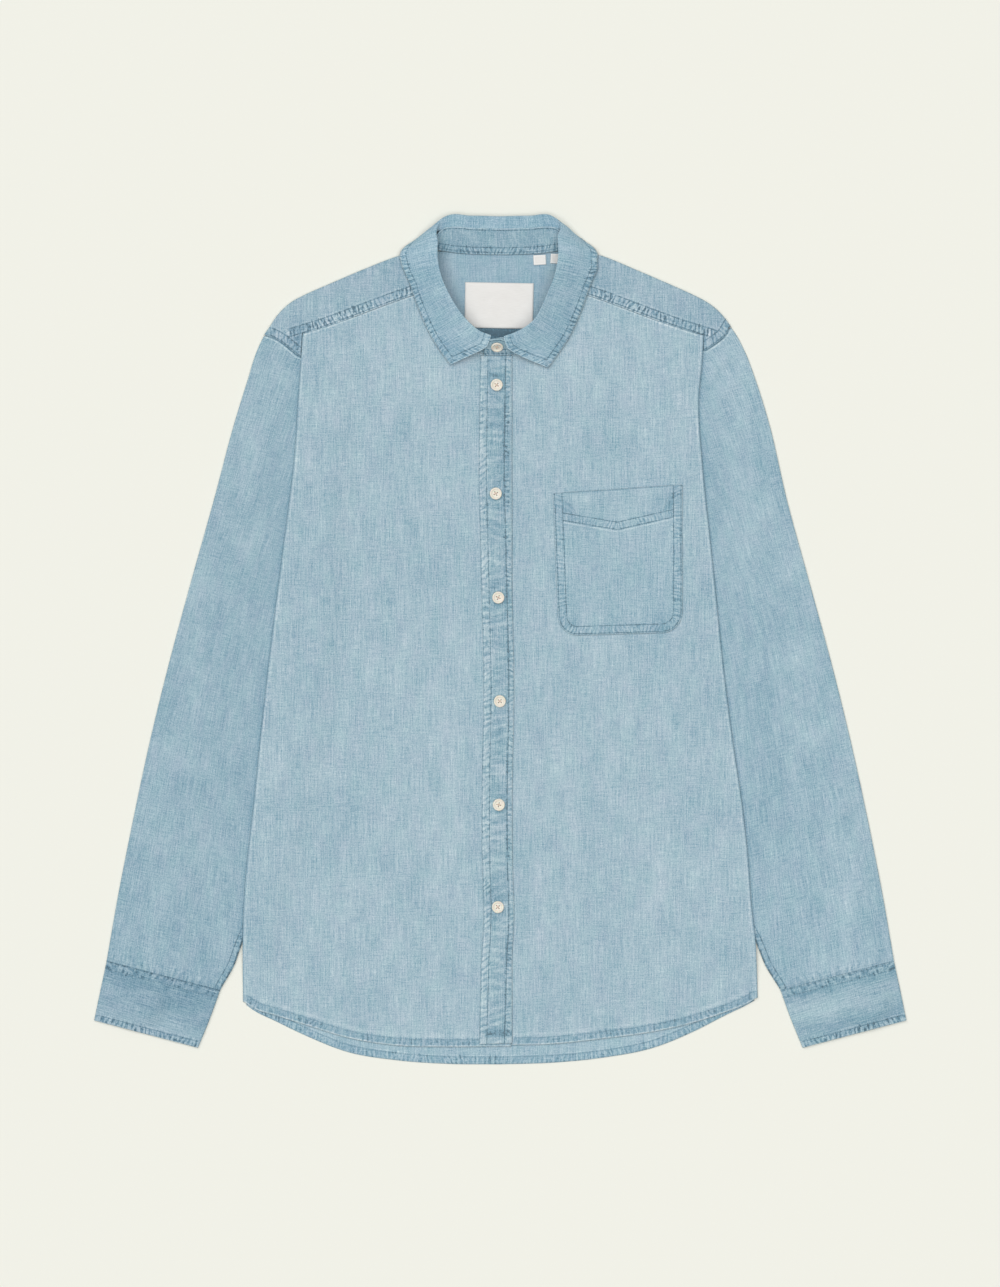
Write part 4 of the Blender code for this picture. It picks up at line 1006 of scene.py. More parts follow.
def make_front(side):
    """A front, its fold at the side and the flap turned under."""
    plan = front_plan(side, graded(*FRONT_ACROSS), graded(*FRONT_DOWN))
    x, y = plan[..., 0], plan[..., 1]
    seed = 41 if side == "right" else 42

    seam_place, seam_left = along(plan, curve(YOKE_FRONT_SEAM, 25))
    tucked = 1 - ease(-seam_left, *FRONT_TUCK["fade"])
    relief = np.stack([-FRONT_TUCK["depth"] * tucked * ease(x, *FRONT_TUCK["from_x"]), 0 * x])
    hem_place, hem_out = along(plan, plan[-1, ::3])
    relief += sewn(hem_place, hem_out, (HEM_ROW,), seed, pitch=5.0, height=0.22, dark=0.3)
    relief += creases(plan, FRONT_CREASES[side])
    relief += patches(plan, FRONT_PATCHES[side])
    from_fold = side_fold(side, y) - x
    relief[0] *= ease(from_fold, *FRONT_FOLD_FADE)

    z = front_height(side, x, y)
    fold_x, fold_y = x[:, -1:], y[:, -1:]
    middle_z = z[:, -1:] + WALL - FOLD_RADIUS
    flap = np.linspace(FRONT_FLAP["first"], 1, FRONT_FLAP["steps"])
    flap_x = fold_x + (side_seam(side, fold_y) - fold_x) * flap
    grids = []
    for depth in (0.0, CLOTH):
        radius = FOLD_RADIUS - depth
        top = raised(plan, z + WALL - depth + relief[0])
        arc = [fold_x + radius * np.sin(TURNS), fold_y, middle_z + radius * np.cos(TURNS)]
        under = [flap_x, fold_y, middle_z - radius]
        rest = [np.stack(np.broadcast_arrays(*part), axis=2) for part in (arc, under)]
        grids.append(on_side(np.concatenate([top, *rest], axis=1), side))
    start, run = FRONT_FLAP["grain"]
    turned = np.concatenate([TURNS * FOLD_RADIUS, start + flap * run])
    grain_x = np.concatenate([x * SIDES[side], (fold_x + turned) * SIDES[side]], axis=1)
    grain = np.stack(np.broadcast_arrays(grain_x, fold_y), axis=2).copy()
    grain[:, : x.shape[1], 1] = y
    wear = np.zeros(grain.shape[:2])
    wear[:, : x.shape[1]] = relief[1]
    # The fold's turn carries a painted shadow.
    wear[:, x.shape[1] : x.shape[1] + len(TURNS)] = FOLD_SHADE
    turned = np.full((len(x), grain.shape[1] - x.shape[1]), CLEAR_OF_SEAM)
    seams = [(hem_place, hem_out), (seam_place, -seam_left), (-y, from_fold)]
    seams = [[np.concatenate([part, turned], axis=1) for part in parts] for parts in seams]
    name = "front_" + side
    made = shell(name, *grids, grain, wear, "body_chambray", seams=seams)
    inside = plan[-1, ::2] + outwards(plan[-1, ::2]) * HEM_ROW
    lay(made, on_side(inside[inside[:, 0] > PLACKET_EDGES[1] + 1], side))


def lay(made, plan, facing=1, least=6):
    """A row of stitches over a plan path, laid on the piece from above, or from below where facing is -1."""
    tree = BVHTree.FromPolygons([v.co for v in made.data.vertices], [p.vertices for p in made.data.polygons])
    points, up = [], []
    for x, y in plan * MM:
        hit, normal, _, _ = tree.ray_cast(Vector((x, y, 0.2 * facing)), Vector((0, 0, -facing)))
        if hit is not None:
            points.append(np.array(hit) / MM)
            up.append(np.array(normal) * np.sign(normal.z * facing))
    if len(points) >= least:
        stitch(points, up)


STITCH_STEP = 1.2


def offset_path(path, out):
    """A plan path moved to its left, with its points a small step apart."""
    moved = path + outwards(path) * out
    return evenly(moved, max(2, round(run_lengths(moved)[-1] / STITCH_STEP)))


def flat_piece(name, plan, z, relief, seams, slot):
    """A shell on a flat solid's top, from the height of its underside and its relief."""
    top, inner = raised(plan, z + WALL + relief[0]), raised(plan, z + WALL - CLOTH - 0.1)
    return shell(name, top, inner, plan, relief[1], slot, seams=seams)


PLACKET_ROWS = 700
PLACKET_CREASES = [
    (-12, 246, -1, 251, 0, 1.2, -0.9), (-11, 242, -1, 246, 0, 1.6, 0.4), (-10, 180, 0, 176, 0, 2.5, 0.4),
]
# Patches on the band: the six at the buttons' places (y 234, 134, 38, -58, -153 and -236) are painted shade
# round the buttons.
PLACKET_PATCHES = [
    (-1, 114, 6, 9, -0.4), (-6, 44, 5, 10, -0.35), (-6, -252, 6, 10, -0.45), (-6, -325, 6, 9, -0.4),
    (-3, -78, 5, 20, -0.25), (-6, 243, 7, 6, -0.5), (-2, 234, 9, 10, -0.35), (4, 190, 5, 42, -0.35),
    (-3, 212, 8, 16, -0.15), (7, 175, 2.4, 32, -0.5), (-3, 134, 9, 11, -0.3), (-2, 38, 9, 11, -0.3),
    (-1, -58, 9, 11, -0.25), (-2, -153, 9, 12, -0.3), (-2, -236, 8, 12, -0.45), (-2, -310, 9, 30, 0.1),
]
# The band's rolls between its two rows, its foot, the lines under the stand, and its edges' dip.
BAND_PLACE = 15.0
BAND_AMID = {"left": (7.0, 9.5), "right": (5.2, 7.5)}
BAND_ROLLS = {"rise": 0.45, "wear": 0.9, "dark": 0.62, "fine": 0.6}
BAND_FOOT = {
    "pale": 0.25, "up": 6.5, "dark": 1.1, "at": 9.4, "half": 2.8, "from_left": (3.0, 8.0), "row": 7.0,
    "dip": 0.1,
}
# Under the stand's lower edge: a painted shadow, and a pale line below it, as (how far below, width, wear).
UNDER_STAND_LINES = [(0.4, 0.7, -0.8), (2.2, 0.7, 0.5)]
EDGE_DIP = (0.55, 0.9)


def make_placket():
    """The button band on both fronts' middle edges."""
    across = graded(PLACKET_WIDTH, 1.3, (0.0, 1.5, 0.6), (PLACKET_WIDTH, 1.5, 0.6))
    down = np.linspace(0, 1, PLACKET_ROWS)[:, None]
    hems = (HEM["front_right"][0], HEM["front_left"][0])
    hem_y = np.interp(PLACKET_EDGES[0] + PLACKET_WIDTH * across, PLACKET_EDGES, hems) + RAMP_CLEAR
    y = PLACKET_TOP + PLACKET_UNDER_STAND + (hem_y - PLACKET_TOP - PLACKET_UNDER_STAND) * down
    left_x = PLACKET_EDGES[0] + smooth(PLACKET_SWAY, "left", y)
    right_x = np.clip(left_x + PLACKET_WIDTH, PLACKET_OVERLAP_X, PLACKET_EDGES[1])
    x = left_x + (right_x - left_x) * across
    plan = np.stack([x, y], axis=2)
    place = PLACKET_TOP - y
    started = place + BAND_PLACE
    from_left, from_right = x - left_x, left_x + PLACKET_WIDTH - x
    relief = sewn(started, from_left, BAND_ROWS[:1], 51, pitch=5.6, height=0.36, dark=-0.1)
    relief += sewn(started, from_right, BAND_ROWS[1:], 52, pitch=4.6, height=0.30, dark=0.1)
    amid = ease(from_left, *BAND_AMID["left"]) * ease(from_right, *BAND_AMID["right"])
    rolls = puckers(started, x, 9.0, 53) + BAND_ROLLS["fine"] * puckers(started, -2 * x, 5.0, 54)
    relief += np.stack([BAND_ROLLS["rise"] * rolls, BAND_ROLLS["wear"] * rolls - BAND_ROLLS["dark"]]) * amid
    relief += creases(plan, PLACKET_CREASES)
    relief += patches(plan, PLACKET_PATCHES)
    foot = y - hem_y
    relief[1] += BAND_FOOT["pale"] * ease(BAND_FOOT["up"] - foot, 0, 1.5)
    shaded = np.exp(-(((foot - BAND_FOOT["at"]) / BAND_FOOT["half"]) ** 4))
    relief[1] -= BAND_FOOT["dark"] * shaded * ease(from_left, *BAND_FOOT["from_left"])
    # A painted shadow under the stand's edge, and a pale line below it.
    under_stand = PLACKET_TOP + PLACKET_UNDER_STAND - y
    for at, width, wear in UNDER_STAND_LINES:
        relief[1] += wear * near(under_stand - at, width)
    edge = np.minimum(from_left, right_x - x)
    relief[0] -= EDGE_DIP[0] * near(edge, EDGE_DIP[1])
    relief[0] -= BAND_FOOT["dip"] * near(foot - BAND_FOOT["row"], 1.0)
    z = front_height("left", np.abs(x), np.minimum(y, PLACKET_TOP)) + LAYER
    seams = [(place, from_left), (place, from_right)]
    made = flat_piece("front_placket", plan, z, relief, seams, slot="band_chambray")
    run = slice(6, -12, 2)
    for in_from_left in (BAND_ROWS[0], PLACKET_WIDTH - BAND_ROWS[1]):
        lay(made, np.column_stack([left_x[run, 0] + in_from_left, y[run, 0]]))
    lay(made, plan[-12, 1:-1])


# The tacks and creases at the pocket's mouth, its patches of dye, and how its mouth and rim stand.
POCKET_TACKS = [
    np.array([(57.4, 126.8), (62.5, 125.4), (67.0, 121.5), (69.8, 116.5)]),
    np.array([(161.4, 135.4), (156.6, 133.0), (153.0, 126.5), (150.6, 118.5)]),
]
# Creases at the tacks, whose troughs carry a deep painted shade, as they are given five times a crease's
# wear.
POCKET_CREASES = [
    (57.4, 127.0, 69.8, 116.5, 2.5, 1.3, -0.9), (57.0, 120.0, 67.0, 116.6, 0.5, 1.6, -0.5),
    (161.4, 135.4, 150.6, 118.5, 2.0, 1.3, -0.9), (161.0, 126.0, 153.0, 120.0, 0.5, 1.6, -0.6),
]
POCKET_PATCHES = [
    (147, 20, 12, 9, -0.35), (107, 82, 8, 7, -0.25), (62, 20, 6, 8, 0.4), (78, 131, 12, 4, 0.3),
    (156, 124, 6, 5, 0.3), (64, 30, 12, 18, -0.25), (66, 16, 10, 8, -0.3), (160, 10, 10, 8, -0.35),
    (60, 124, 6, 7, -0.35), (157, 127, 7, 8, -0.45), (110, 60, 26, 16, -0.10), (150, 128, 10, 12, -0.2),
    (128, 30, 20, 14, 0.12),
]
# How the mouth stands up, and the painted shadow along it, each as strength and width.
POCKET_MOUTH = {"rise": (0.7, 14.0), "dark": (0.7, 0.8)}
POCKET_INSIDE = (7.0, 10.0)
POCKET_RIM_DIP = (0.5, 0.8)
FACING_STEP = (0.22, -0.6, 0.4)
FACING_SPAN = (59.5, 159.5)


def make_pocket():
    """The patch pocket, with its V-stitched facing."""
    across = graded(117.0, 1.1)
    down = graded(138.0, 1.1)[:, None]
    left = POCKET["left"][1] + (POCKET["left"][0] - POCKET["left"][1]) * down
    right = POCKET["right"][1] + (POCKET["right"][0] - POCKET["right"][1]) * down
    width = POCKET["right"][0] - POCKET["left"][0]
    from_side = np.minimum(across, 1 - across) * width
    cut = np.clip(POCKET_CORNER - from_side, 0, POCKET_CORNER)
    rise = POCKET_CORNER - np.sqrt(POCKET_CORNER**2 - cut**2)
    low = np.interp(across, (0, 1), POCKET["bottom"]) + rise
    high = np.interp(across, (0, 1), POCKET["top"])
    x = left + (right - left) * across
    y = high + (low - high) * down
    plan = np.stack([x, y], axis=2)
    outline = np.concatenate([plan[:, 0], plan[-1, 1:-1], plan[::-1, -1]])
    rim_place, rim_out = along(plan, outline)
    relief = sewn(rim_place, rim_out, POCKET_ROWS, 61, pitch=4.4, height=0.34, dark=0.1)
    place, above = along(plan, np.array(POCKET_FACING["path"]))
    inside = ease(rim_out, *POCKET_INSIDE)
    vee = sewn(place, above, POCKET_FACING["rows"], 62, pitch=3.7, height=0.26, dark=0.05)
    vee[0] += FACING_STEP[0] * ease(above, *FACING_STEP[1:])
    relief += vee * inside
    mouth = high - y
    relief[0] += POCKET_MOUTH["rise"][0] * near(mouth, POCKET_MOUTH["rise"][1]) * inside
    # A painted shadow along the pocket's mouth.
    relief[1] -= POCKET_MOUTH["dark"][0] * near(mouth, POCKET_MOUTH["dark"][1]) * inside
    relief[0] -= POCKET_RIM_DIP[0] * near(rim_out, POCKET_RIM_DIP[1])
    relief += patches(plan, POCKET_PATCHES) + creases(plan, POCKET_CREASES, rise=0.3, wear=5.0)
    z = front_height("left", x, y) + LAYER
    seams = [(rim_place, rim_out), (place, above)]
    made = flat_piece("pocket", plan, z, relief, seams, slot="pocket_chambray")
    outline = offset_path(outline[::2], 0.0)
    for out in POCKET_ROWS:
        lay(made, offset_path(outline, out)[2:-2])
    for out in POCKET_FACING["rows"]:
        path = offset_path(np.array(POCKET_FACING["path"]) + (0.0, out), 0.0)
        lay(made, path[(path[:, 0] > FACING_SPAN[0]) & (path[:, 0] < FACING_SPAN[1])])
    for tack in POCKET_TACKS:
        lay(made, offset_path(curve({"x": tack[:, 0], "y": tack[:, 1]}, 12), 0.0), least=3)


# ---- Back ----------------------------------------------------------------------------------------


# Where the tail's corners run out under the fronts' corners, and how far in from the side fold they stop.
TAIL_CORNER = {"right": (335.4, 337.4), "left": (332.0, 334.0)}
TAIL_CORNER_IN = 3.0
BACK_ACROSS = (200.0, 3.8)
BACK_DOWN = (652.0, 6.5, (652.0, 24.0, 1.4))


def make_back():
    """The back, from side seam to side seam, with its longer tail."""
    shares, places = graded(*BACK_ACROSS), graded(*BACK_DOWN)
    unders, wears, seams, rows = [], [], [], []
    for side in SIDES:

        def x_at(y):
            at_corner = ease(-y, *TAIL_CORNER[side])
            reach = side_fold(side, y) - TAIL_CORNER_IN - side_seam(side, y) + ARMHOLE_CLEAR
            return (side_seam(side, y) - ARMHOLE_CLEAR + reach * at_corner) * shares

        bottom = settle(hem_edge(side, "back"), x_at, -380.0)
        y = YOKE_SEAM_Y - GAP + (bottom - YOKE_SEAM_Y + GAP) * places[:, None]
        x = x_at(y)
        plan = np.stack([x, y], axis=2)
        place, left = along(plan, plan[-1, ::2])
        relief = sewn(place, left, (HEM_ROW,), 71 + SIDES[side], pitch=5.2, height=0.2, dark=0.35)
        seams.append(np.stack([place * SIDES[side], left], axis=2))
        unders.append(on_side(raised(plan, back_height(side, x, y) + relief[0]), side))
        wears.append(relief[1])
        row = plan[-1, ::2] + outwards(plan[-1, ::2]) * HEM_ROW
        rows.append(on_side(row, side))
    under, wear = join_halves(*unders), join_halves(*wears)
    flat = under.copy()
    flat[..., 2] = np.where(under[..., 2] < 1.0, np.minimum(under[..., 2], 0.0), under[..., 2])
    top = under + (0, 0, CLOTH + 0.05)
    hem_seam = np.moveaxis(join_halves(*seams), 2, 0)
    made = shell("back", top, flat, under[..., :2], wear, "body_chambray", seams=[hem_seam])
    lay(made, offset_path(join_halves(*rows, axis=0), 0.0))


# ---- Yokes ---------------------------------------------------------------------------------------


def between(rows, at):
    """Rows of values at places from 0 to 1, on straight lines between the ones given."""
    place = at * (len(rows) - 1)
    row = np.minimum(place.astype(int), len(rows) - 2)
    t = (place - row).reshape(-1, *[1] * (rows.ndim - 1))
    return rows[row] * (1 - t) + rows[row + 1] * t


def patch(low, high, start, end):
    """Plan points between four edges: low and high run the same way, from start's ends to end's."""
    down = np.linspace(0, 1, len(start))[:, None, None]
    over = np.linspace(0, 1, len(low))[None, :, None]
    rows = low * (1 - down) + high * down
    columns = start[:, None] * (1 - over) + end[:, None] * over
    corners = low[0] * (1 - down) * (1 - over) + low[-1] * (1 - down) * over
    corners = corners + high[0] * down * (1 - over) + high[-1] * down * over
    return rows + columns - corners


def run_on(path, before, after):
    """A path run on in a straight line at each end."""
    first, last = path[0] - path[1], path[-1] - path[-2]
    first, last = first / np.linalg.norm(first), last / np.linalg.norm(last)
    return np.concatenate([[path[0] + first * before], path[1:-1], [path[-1] + last * after]])


def drawn_to(path, start, end):
    """A path with its ends drawn to new places, and the rest moved less and less."""
    t = np.linspace(0, 1, len(path))[:, None]
    return path + (start - path[0]) * (1 - t) ** 4 + (end - path[-1]) * t**4


def seam_path(side, count):
    """The yoke's front seam out to the side fold, and on down the fold to the tip of its lap."""
    seam = curve(YOKE_FRONT_SEAM, 40) + (0, SEAM_CLEAR / 2)
    corner_x = side_fold(side, seam[-1, 1]) + SEAM_CLEAR
    seam = seam[seam[:, 0] < corner_x - 1.0]
    corner = (corner_x, smooth(YOKE_FRONT_SEAM, "y", corner_x, "x") + SEAM_CLEAR)
    tip_y = YOKE_LAP[side]["y"][0]
    tip = (side_fold(side, tip_y) + SEAM_CLEAR, tip_y)
    return evenly(np.concatenate([seam, [corner, tip]]), count), seam


def yoke_back_lines(side, shoulder, first, inset=0.0):
    """From the shoulder down to the yoke's seam at the back, ending at its middle."""
    armhole = curve(ARMHOLE[side], 4)[1:] - (BACK_SHIFT + inset, 0.0)
    low = YOKE_SEAM_Y + GAP
    corner = side_seam(side, low) - RAMP_CLEAR - inset
    ends = np.concatenate([armhole, [(corner, low), (corner * 0.6, low), (0.0, low)]])
    t = np.linspace(0, 1, len(shoulder))[:, None]
    chord = shoulder[0] + (shoulder[-1] - shoulder[0]) * t
    lines = [first]
    for x, y, bow, end in zip(YOKE_BACK["neck_x"], YOKE_BACK["neck_y"], YOKE_BACK["bow"], ends):
        lines.append(np.array([x, y]) + (end - (x, y)) * t + bow * (shoulder - chord))
    return np.array(lines)


SEAM_RUN_ON = 14.0
YOKE_ACROSS = 150
YOKE_DOWN = 46
YOKE_BEHIND = 20
YOKE_TURNS = np.linspace(0, math.pi, 9)
YOKE_TURN_ROWS = 4
# How far the yoke laps over the front, out to where its lap ends, and its rise at the front seam.
YOKE_OVER_FRONT = 1.3
YOKE_OVER_ENDS = (176.0, 184.0)
YOKE_SEAM_RISE = (0.45, 5.0)
YOKE_FOLD_FADE = 0.12
YOKE_CREASES = [
    (196, 296, 186, 276, 1, 1.6, -0.5), (190, 290, 188, 266, -1, 1.6, -0.6),
    (198, 286, 189, 270, 1, 1.5, 0.4), (203, 288, 192, 272, -1, 1.6, -0.4),
]
YOKE_CORNER_PATCH = {"right": (187, 276, 7, 10, -0.6), "left": (198, 283, 12, 8, 0.25)}
YOKE_PATCHES = [
    (180, 286, 14, 9, -0.3), (96, 325, 14, 8, -0.3), (120, 330, 30, 10, 0.10), (150, 315, 26, 10, 0.06),
]


def make_yoke_outer():
    """From the front seams over both shoulder folds and across the back."""
    radius = (2 * LAYER + WALL) / 2
    halves = {"outer": [], "inner": [], "wear": [], "grain": [], "armhole_seam": [], "front_seam": []}
    rows = []
    for side in SIDES:
        shoulder = curve(SHOULDER[side], YOKE_ACROSS)
        out = outwards(shoulder)
        seam, straight = seam_path(side, YOKE_ACROSS)
        seam = seam - np.array([0.0, YOKE_OVER_FRONT]) * (1 - ease(seam[:, :1], *YOKE_OVER_ENDS))
        top_edge = shoulder - out * radius
        start = drawn_to(curve(YOKE_NECK, YOKE_DOWN), seam[0], top_edge[0])
        end = drawn_to(curve(YOKE_LAP[side], YOKE_DOWN), seam[-1], top_edge[-1])
        plan = patch(seam, top_edge, start, end)
        edge = run_on(straight - (0.0, YOKE_OVER_FRONT), 0.0, SEAM_RUN_ON)
        place, left = along(plan, edge)
        seed = 80 if side == "right" else 85
        relief = sewn(place, left, YOKE_ROWS, seed, pitch=4.8, height=0.36, dark=0.15)
        relief[0] += YOKE_SEAM_RISE[0] * near(left, YOKE_SEAM_RISE[1])
        armhole = run_on(curve(YOKE_LAP[side], 30), SEAM_RUN_ON, SEAM_RUN_ON)
        place, left = along(plan, armhole)
        relief += sewn(place, left, ARMHOLE_ROWS, seed + 1, pitch=4.6, height=0.34, dark=0.1)
        relief += patches(plan, [YOKE_CORNER_PATCH[side], *YOKE_PATCHES])
        relief += creases(plan, YOKE_CREASES, wear=3.0)
        relief[0] *= ease(np.linspace(1, 0, YOKE_DOWN), 0.0, YOKE_FOLD_FADE)[:, None]
        relief[1] = np.clip(relief[1], -1.0, 1.0)
        behind = yoke_back_lines(side, shoulder, top_edge)
        behind = between(behind, np.linspace(0, 1, YOKE_BEHIND))[1:]
        for key, depth in (("outer", 0.0), ("inner", CLOTH)):
            front = raised(plan, 2 * LAYER + WALL - depth + relief[0])
            turning = radius - depth
            turned = []
            for turn in YOKE_TURNS[1:]:
                height = np.full(YOKE_ACROSS, radius + turning * math.cos(turn))
                turned.append(raised(shoulder + out * (turning * math.sin(turn) - radius), height))
            back = raised(behind, np.full(behind.shape[:2], depth))
            halves[key].append(on_side(np.concatenate([front, np.array(turned), back]), side))
        made_rows = len(halves["outer"][-1])
        wear = np.zeros((made_rows, YOKE_ACROSS))
        wear[:YOKE_DOWN] = relief[1]
        halves["wear"].append(wear)
        grain = halves["outer"][-1][..., :2].copy()
        turned = len(YOKE_TURNS) - 1
        beyond = np.clip(np.arange(made_rows - YOKE_DOWN) + 1, 0, turned)[:, None] * math.pi * radius / turned
        grain[YOKE_DOWN:, :, 1] = 2 * top_edge[:, 1] - grain[YOKE_DOWN:, :, 1] + beyond
        halves["grain"].append(grain)
        flat = np.abs(halves["outer"][-1][..., :2])
        for name, path in (("armhole_seam", armhole), ("front_seam", edge)):
            place, left = along(flat, path)
            left[YOKE_DOWN + YOKE_TURN_ROWS :] = CLEAR_OF_SEAM
            halves[name].append(np.stack([place * SIDES[side], left], axis=2))
        rows += [on_side(offset_path(edge, at), side) for at in YOKE_ROWS]
        rows += [on_side(offset_path(armhole, at), side) for at in ARMHOLE_ROWS]
    outer, inner, wear, grain, *seams = (
        np.concatenate([first, second[-2::-1]]) for first, second in halves.values()
    )
    seams = [np.moveaxis(seam, 2, 0) for seam in seams]
    made = shell("yoke_outer", outer, inner, grain, wear, "yoke_chambray", seams=seams)
    for row in rows:
        lay(made, row)


# Patches on the inner yoke: the first, below the brand label, is a painted shadow in the gap under the label,
# and the two long ones at the sides are painted light that lifts the shade along the leaf's inner edges.
YOKE_INNER_PATCHES = [
    (-3, 283, 34, 7, -2.2), (0, 340, 26, 10, 0.12), (-47, 322, 5, 36, 0.45), (46, 322, 5, 36, 0.45),
    (30, 330, 10, 8, -0.15),
]
YOKE_INNER_CREASES = [(-40, 336, -8, 332, 1, 4, 0.2)]
YOKE_INNER_ACROSS = 60
YOKE_INNER_DOWN = 36
# Two more lines of points run in under the stand, and how far the first lines lie below the rest.
UNDER_STAND = {"in": (3.4, 1.6), "below": (1.1, 1.1, 0.7, 0.15), "thin": 0.1}


def make_yoke_inner():
    """The inner yoke, which shows inside the neck."""
    inset = 2 * LAYER
    halves = []
    for side in SIDES:
        shoulder = curve(SHOULDER[side], YOKE_INNER_ACROSS)
        edge = shoulder - (0.0, inset)
        edge[:, 0] -= np.linspace(-WALL, inset, YOKE_INNER_ACROSS)
        lines = yoke_back_lines(side, shoulder, edge, 2 * SEAM_CLEAR)
        halves.append(on_side(between(lines, np.linspace(0, 1, YOKE_INNER_DOWN)), side))
    plan = np.concatenate([halves[0], halves[1][-2::-1]])
    away = plan[:, :1] - plan[:, 1:2]
    away = away / np.linalg.norm(away, axis=2, keepdims=True)
    plan = np.concatenate([*(plan[:, :1] + away * reach for reach in UNDER_STAND["in"]), plan], axis=1)
    relief = patches(plan, YOKE_INNER_PATCHES) + creases(plan, YOKE_INNER_CREASES)
    below = np.zeros(plan.shape[1])
    below[: len(UNDER_STAND["below"])] = UNDER_STAND["below"]
    z = LAYER + WALL - below + relief[0]
    inner = raised(plan, z - CLOTH + UNDER_STAND["thin"] * below)
    shell("yoke_inner", raised(plan, z), inner, plan, relief[1], "yoke_chambray")


# ---- Sleeves and cuffs ---------------------------------------------------------------------------


def cuff_point(at, out):
    """A point of the cuff: `at` from its sleeve seam to its hem, `out` from its inner to its outer end."""
    outer, inner = (
        np.array([smooth(CUFF, end + axis, at, "at") for axis in ("_x", "_y")]) for end in ("outer", "inner")
    )
    return inner + (outer - inner) * out


def slit_line():
    """The foot of the sleeve's slit band at the cuff seam, and the directions along and across it."""
    edge = curve(SLEEVE_EDGE["left"], 13)
    up = edge[-3] - edge[-1]
    up = up / np.linalg.norm(up)
    foot = cuff_point(0.0, SLIT_BAND["out"]) + up * GAP
    return foot, up, np.array([up[1], -up[0]])


def underlay(plan):
    """How far a sleeve or cuff is lifted by the slit band and the button under it."""
    foot, up, _ = slit_line()
    reach = np.clip((plan - foot) @ up, -LIFT_PAST_ENDS, SLIT_BAND["length"] + LIFT_PAST_ENDS)
    past_band = np.linalg.norm(plan - (foot + reach[..., None] * up), axis=-1) - SLIT_BAND["width"] / 2
    past_button = np.linalg.norm(plan - cuff_point(*CUFF_BUTTON), axis=-1) - BUTTON_RADIUS
    band = LAYER * (1 - ease(past_band, *BAND_LIFT_FADES))
    button = (BUTTON_THICK + 2 * GAP) * (1 - ease(past_button, *BUTTON_LIFT_FADES))
    return np.maximum(band, button)


def flat_tube(name, slot, inner, outer, places, bulges, side, finish, pinch=0.0, along_band=False):
    """A flattened tube between its two folded edges, made as a closed ring for each row of its plan.

    finish gives its top's rise and wear, and its seams as (place, out, and whether they go on underneath).
    pinch is how far each ring's two walls are drawn together. With along_band the cloth's warp runs
    round the tube.
    """
    start_out, end_out = -outwards(inner), outwards(outer)
    starts, ends = inner - start_out * FOLD_RADIUS, outer - end_out * FOLD_RADIUS
    plan = starts[:, None] + (ends - starts)[:, None] * places[:, None] + bulges
    lift = underlay(plan)
    relief, seams = finish(plan)
    pinch = np.broadcast_to(np.reshape(pinch, (-1, 1)), (len(plan), 1))
    grids = []
    for depth in (0.0, CLOTH):
        radius = FOLD_RADIUS - depth
        swing = radius * np.sin(TURNS)[:, None]
        rise = np.cos(TURNS) * (radius - pinch)
        at_end = plan[:, -1:] + end_out[:, None] * swing
        at_start = plan[:, :1] + start_out[:, None] * swing
        grids.append(on_side(np.concatenate([
            raised(plan, lift + depth + pinch),
            raised(at_end, lift[:, -1:] + FOLD_RADIUS - rise),
            raised(plan, lift + LAYER + WALL - depth - pinch + relief[0])[:, ::-1],
            raised(at_start, lift[:, :1] + FOLD_RADIUS + rise),
        ], axis=1), side))
    count, turns = len(places), len(TURNS)
    from_end = np.linalg.norm(plan - plan[:, -1:], axis=2)
    arc = np.broadcast_to(TURNS * FOLD_RADIUS / 2, (len(plan), turns))
    width = from_end[:, :1]
    fold = math.pi * FOLD_RADIUS / 2
    across = [-from_end, arc, from_end[:, ::-1] + fold, width + fold + arc, width + 2 * fold]
    across = np.concatenate(across, axis=1)
    run = (ends[-1] + starts[-1] - ends[0] - starts[0]) / 2
    run = run / np.linalg.norm(run)

    def round_ring(value, below):
        """A value at each point of the plan, taken on round each ring to where it closes."""
        end, first = value[:, -1:] + 0 * arc, value[:, :1] + 0 * arc
        return np.concatenate([below, end, value[:, ::-1], first, below[:, :1]], axis=1)

    down = round_ring(plan @ run, plan @ run)
    grain = np.stack([across * SIDES[side], -down], axis=2)
    if along_band:
        grain = grain[..., ::-1]
    wear = np.zeros(grids[0].shape[:2])
    wear[:, count + turns : 2 * count + turns] = relief[1][:, ::-1]
    round_tube = []
    for place, out, beneath in seams:
        under = out if beneath else np.full_like(out, CLEAR_OF_SEAM)
        round_tube.append([round_ring(place, place), round_ring(out, under)])
    made = shell(name, *grids, grain, wear, slot, closed=True, seams=round_tube)
    return made, plan


SLEEVE_CREASES = {
    "right": [
        (216, 262, 196, 232, 4, 5, 0.9), (224, 244, 204, 205, 4, 5, 0.7), (236, 205, 216, 158, 5, 6, 0.6),
        (262, 130, 226, 70, 6, 7, 0.7), (280, 60, 240, 20, -6, 7, 0.6), (300, -10, 262, -40, 6, 6, 0.7),
        (296, -40, 262, -72, 5, 6, 0.5), (318, -90, 284, -130, -6, 7, 0.6),
        (336, -170, 300, -200, 5, 7, 0.6), (290, -250, 296, -318, 3, 4, 0.7),
        (322, -250, 326, -308, -3, 4, 0.6), (345, -262, 348, -302, 2, 4, 0.5),
    ],
    "left": [
        (214, 266, 193, 240, -3, 5, 1.0), (222, 250, 198, 218, 4, 5, 0.8),
        (232, 222, 206, 178, 4, 6, 0.6), (258, 140, 222, 92, 6, 7, 0.6), (276, 80, 236, 30, 6, 7, 0.5),
        (298, 0, 256, -34, -5, 6, 0.6), (314, -66, 276, -100, 6, 7, 0.6),
        (332, -140, 292, -172, 5, 7, 0.6), (344, -214, 318, -252, -5, 6, 0.5),
        (286, -256, 290, -320, -3, 4, 0.7), (316, -250, 322, -310, 3, 4, 0.6),
    ],
}
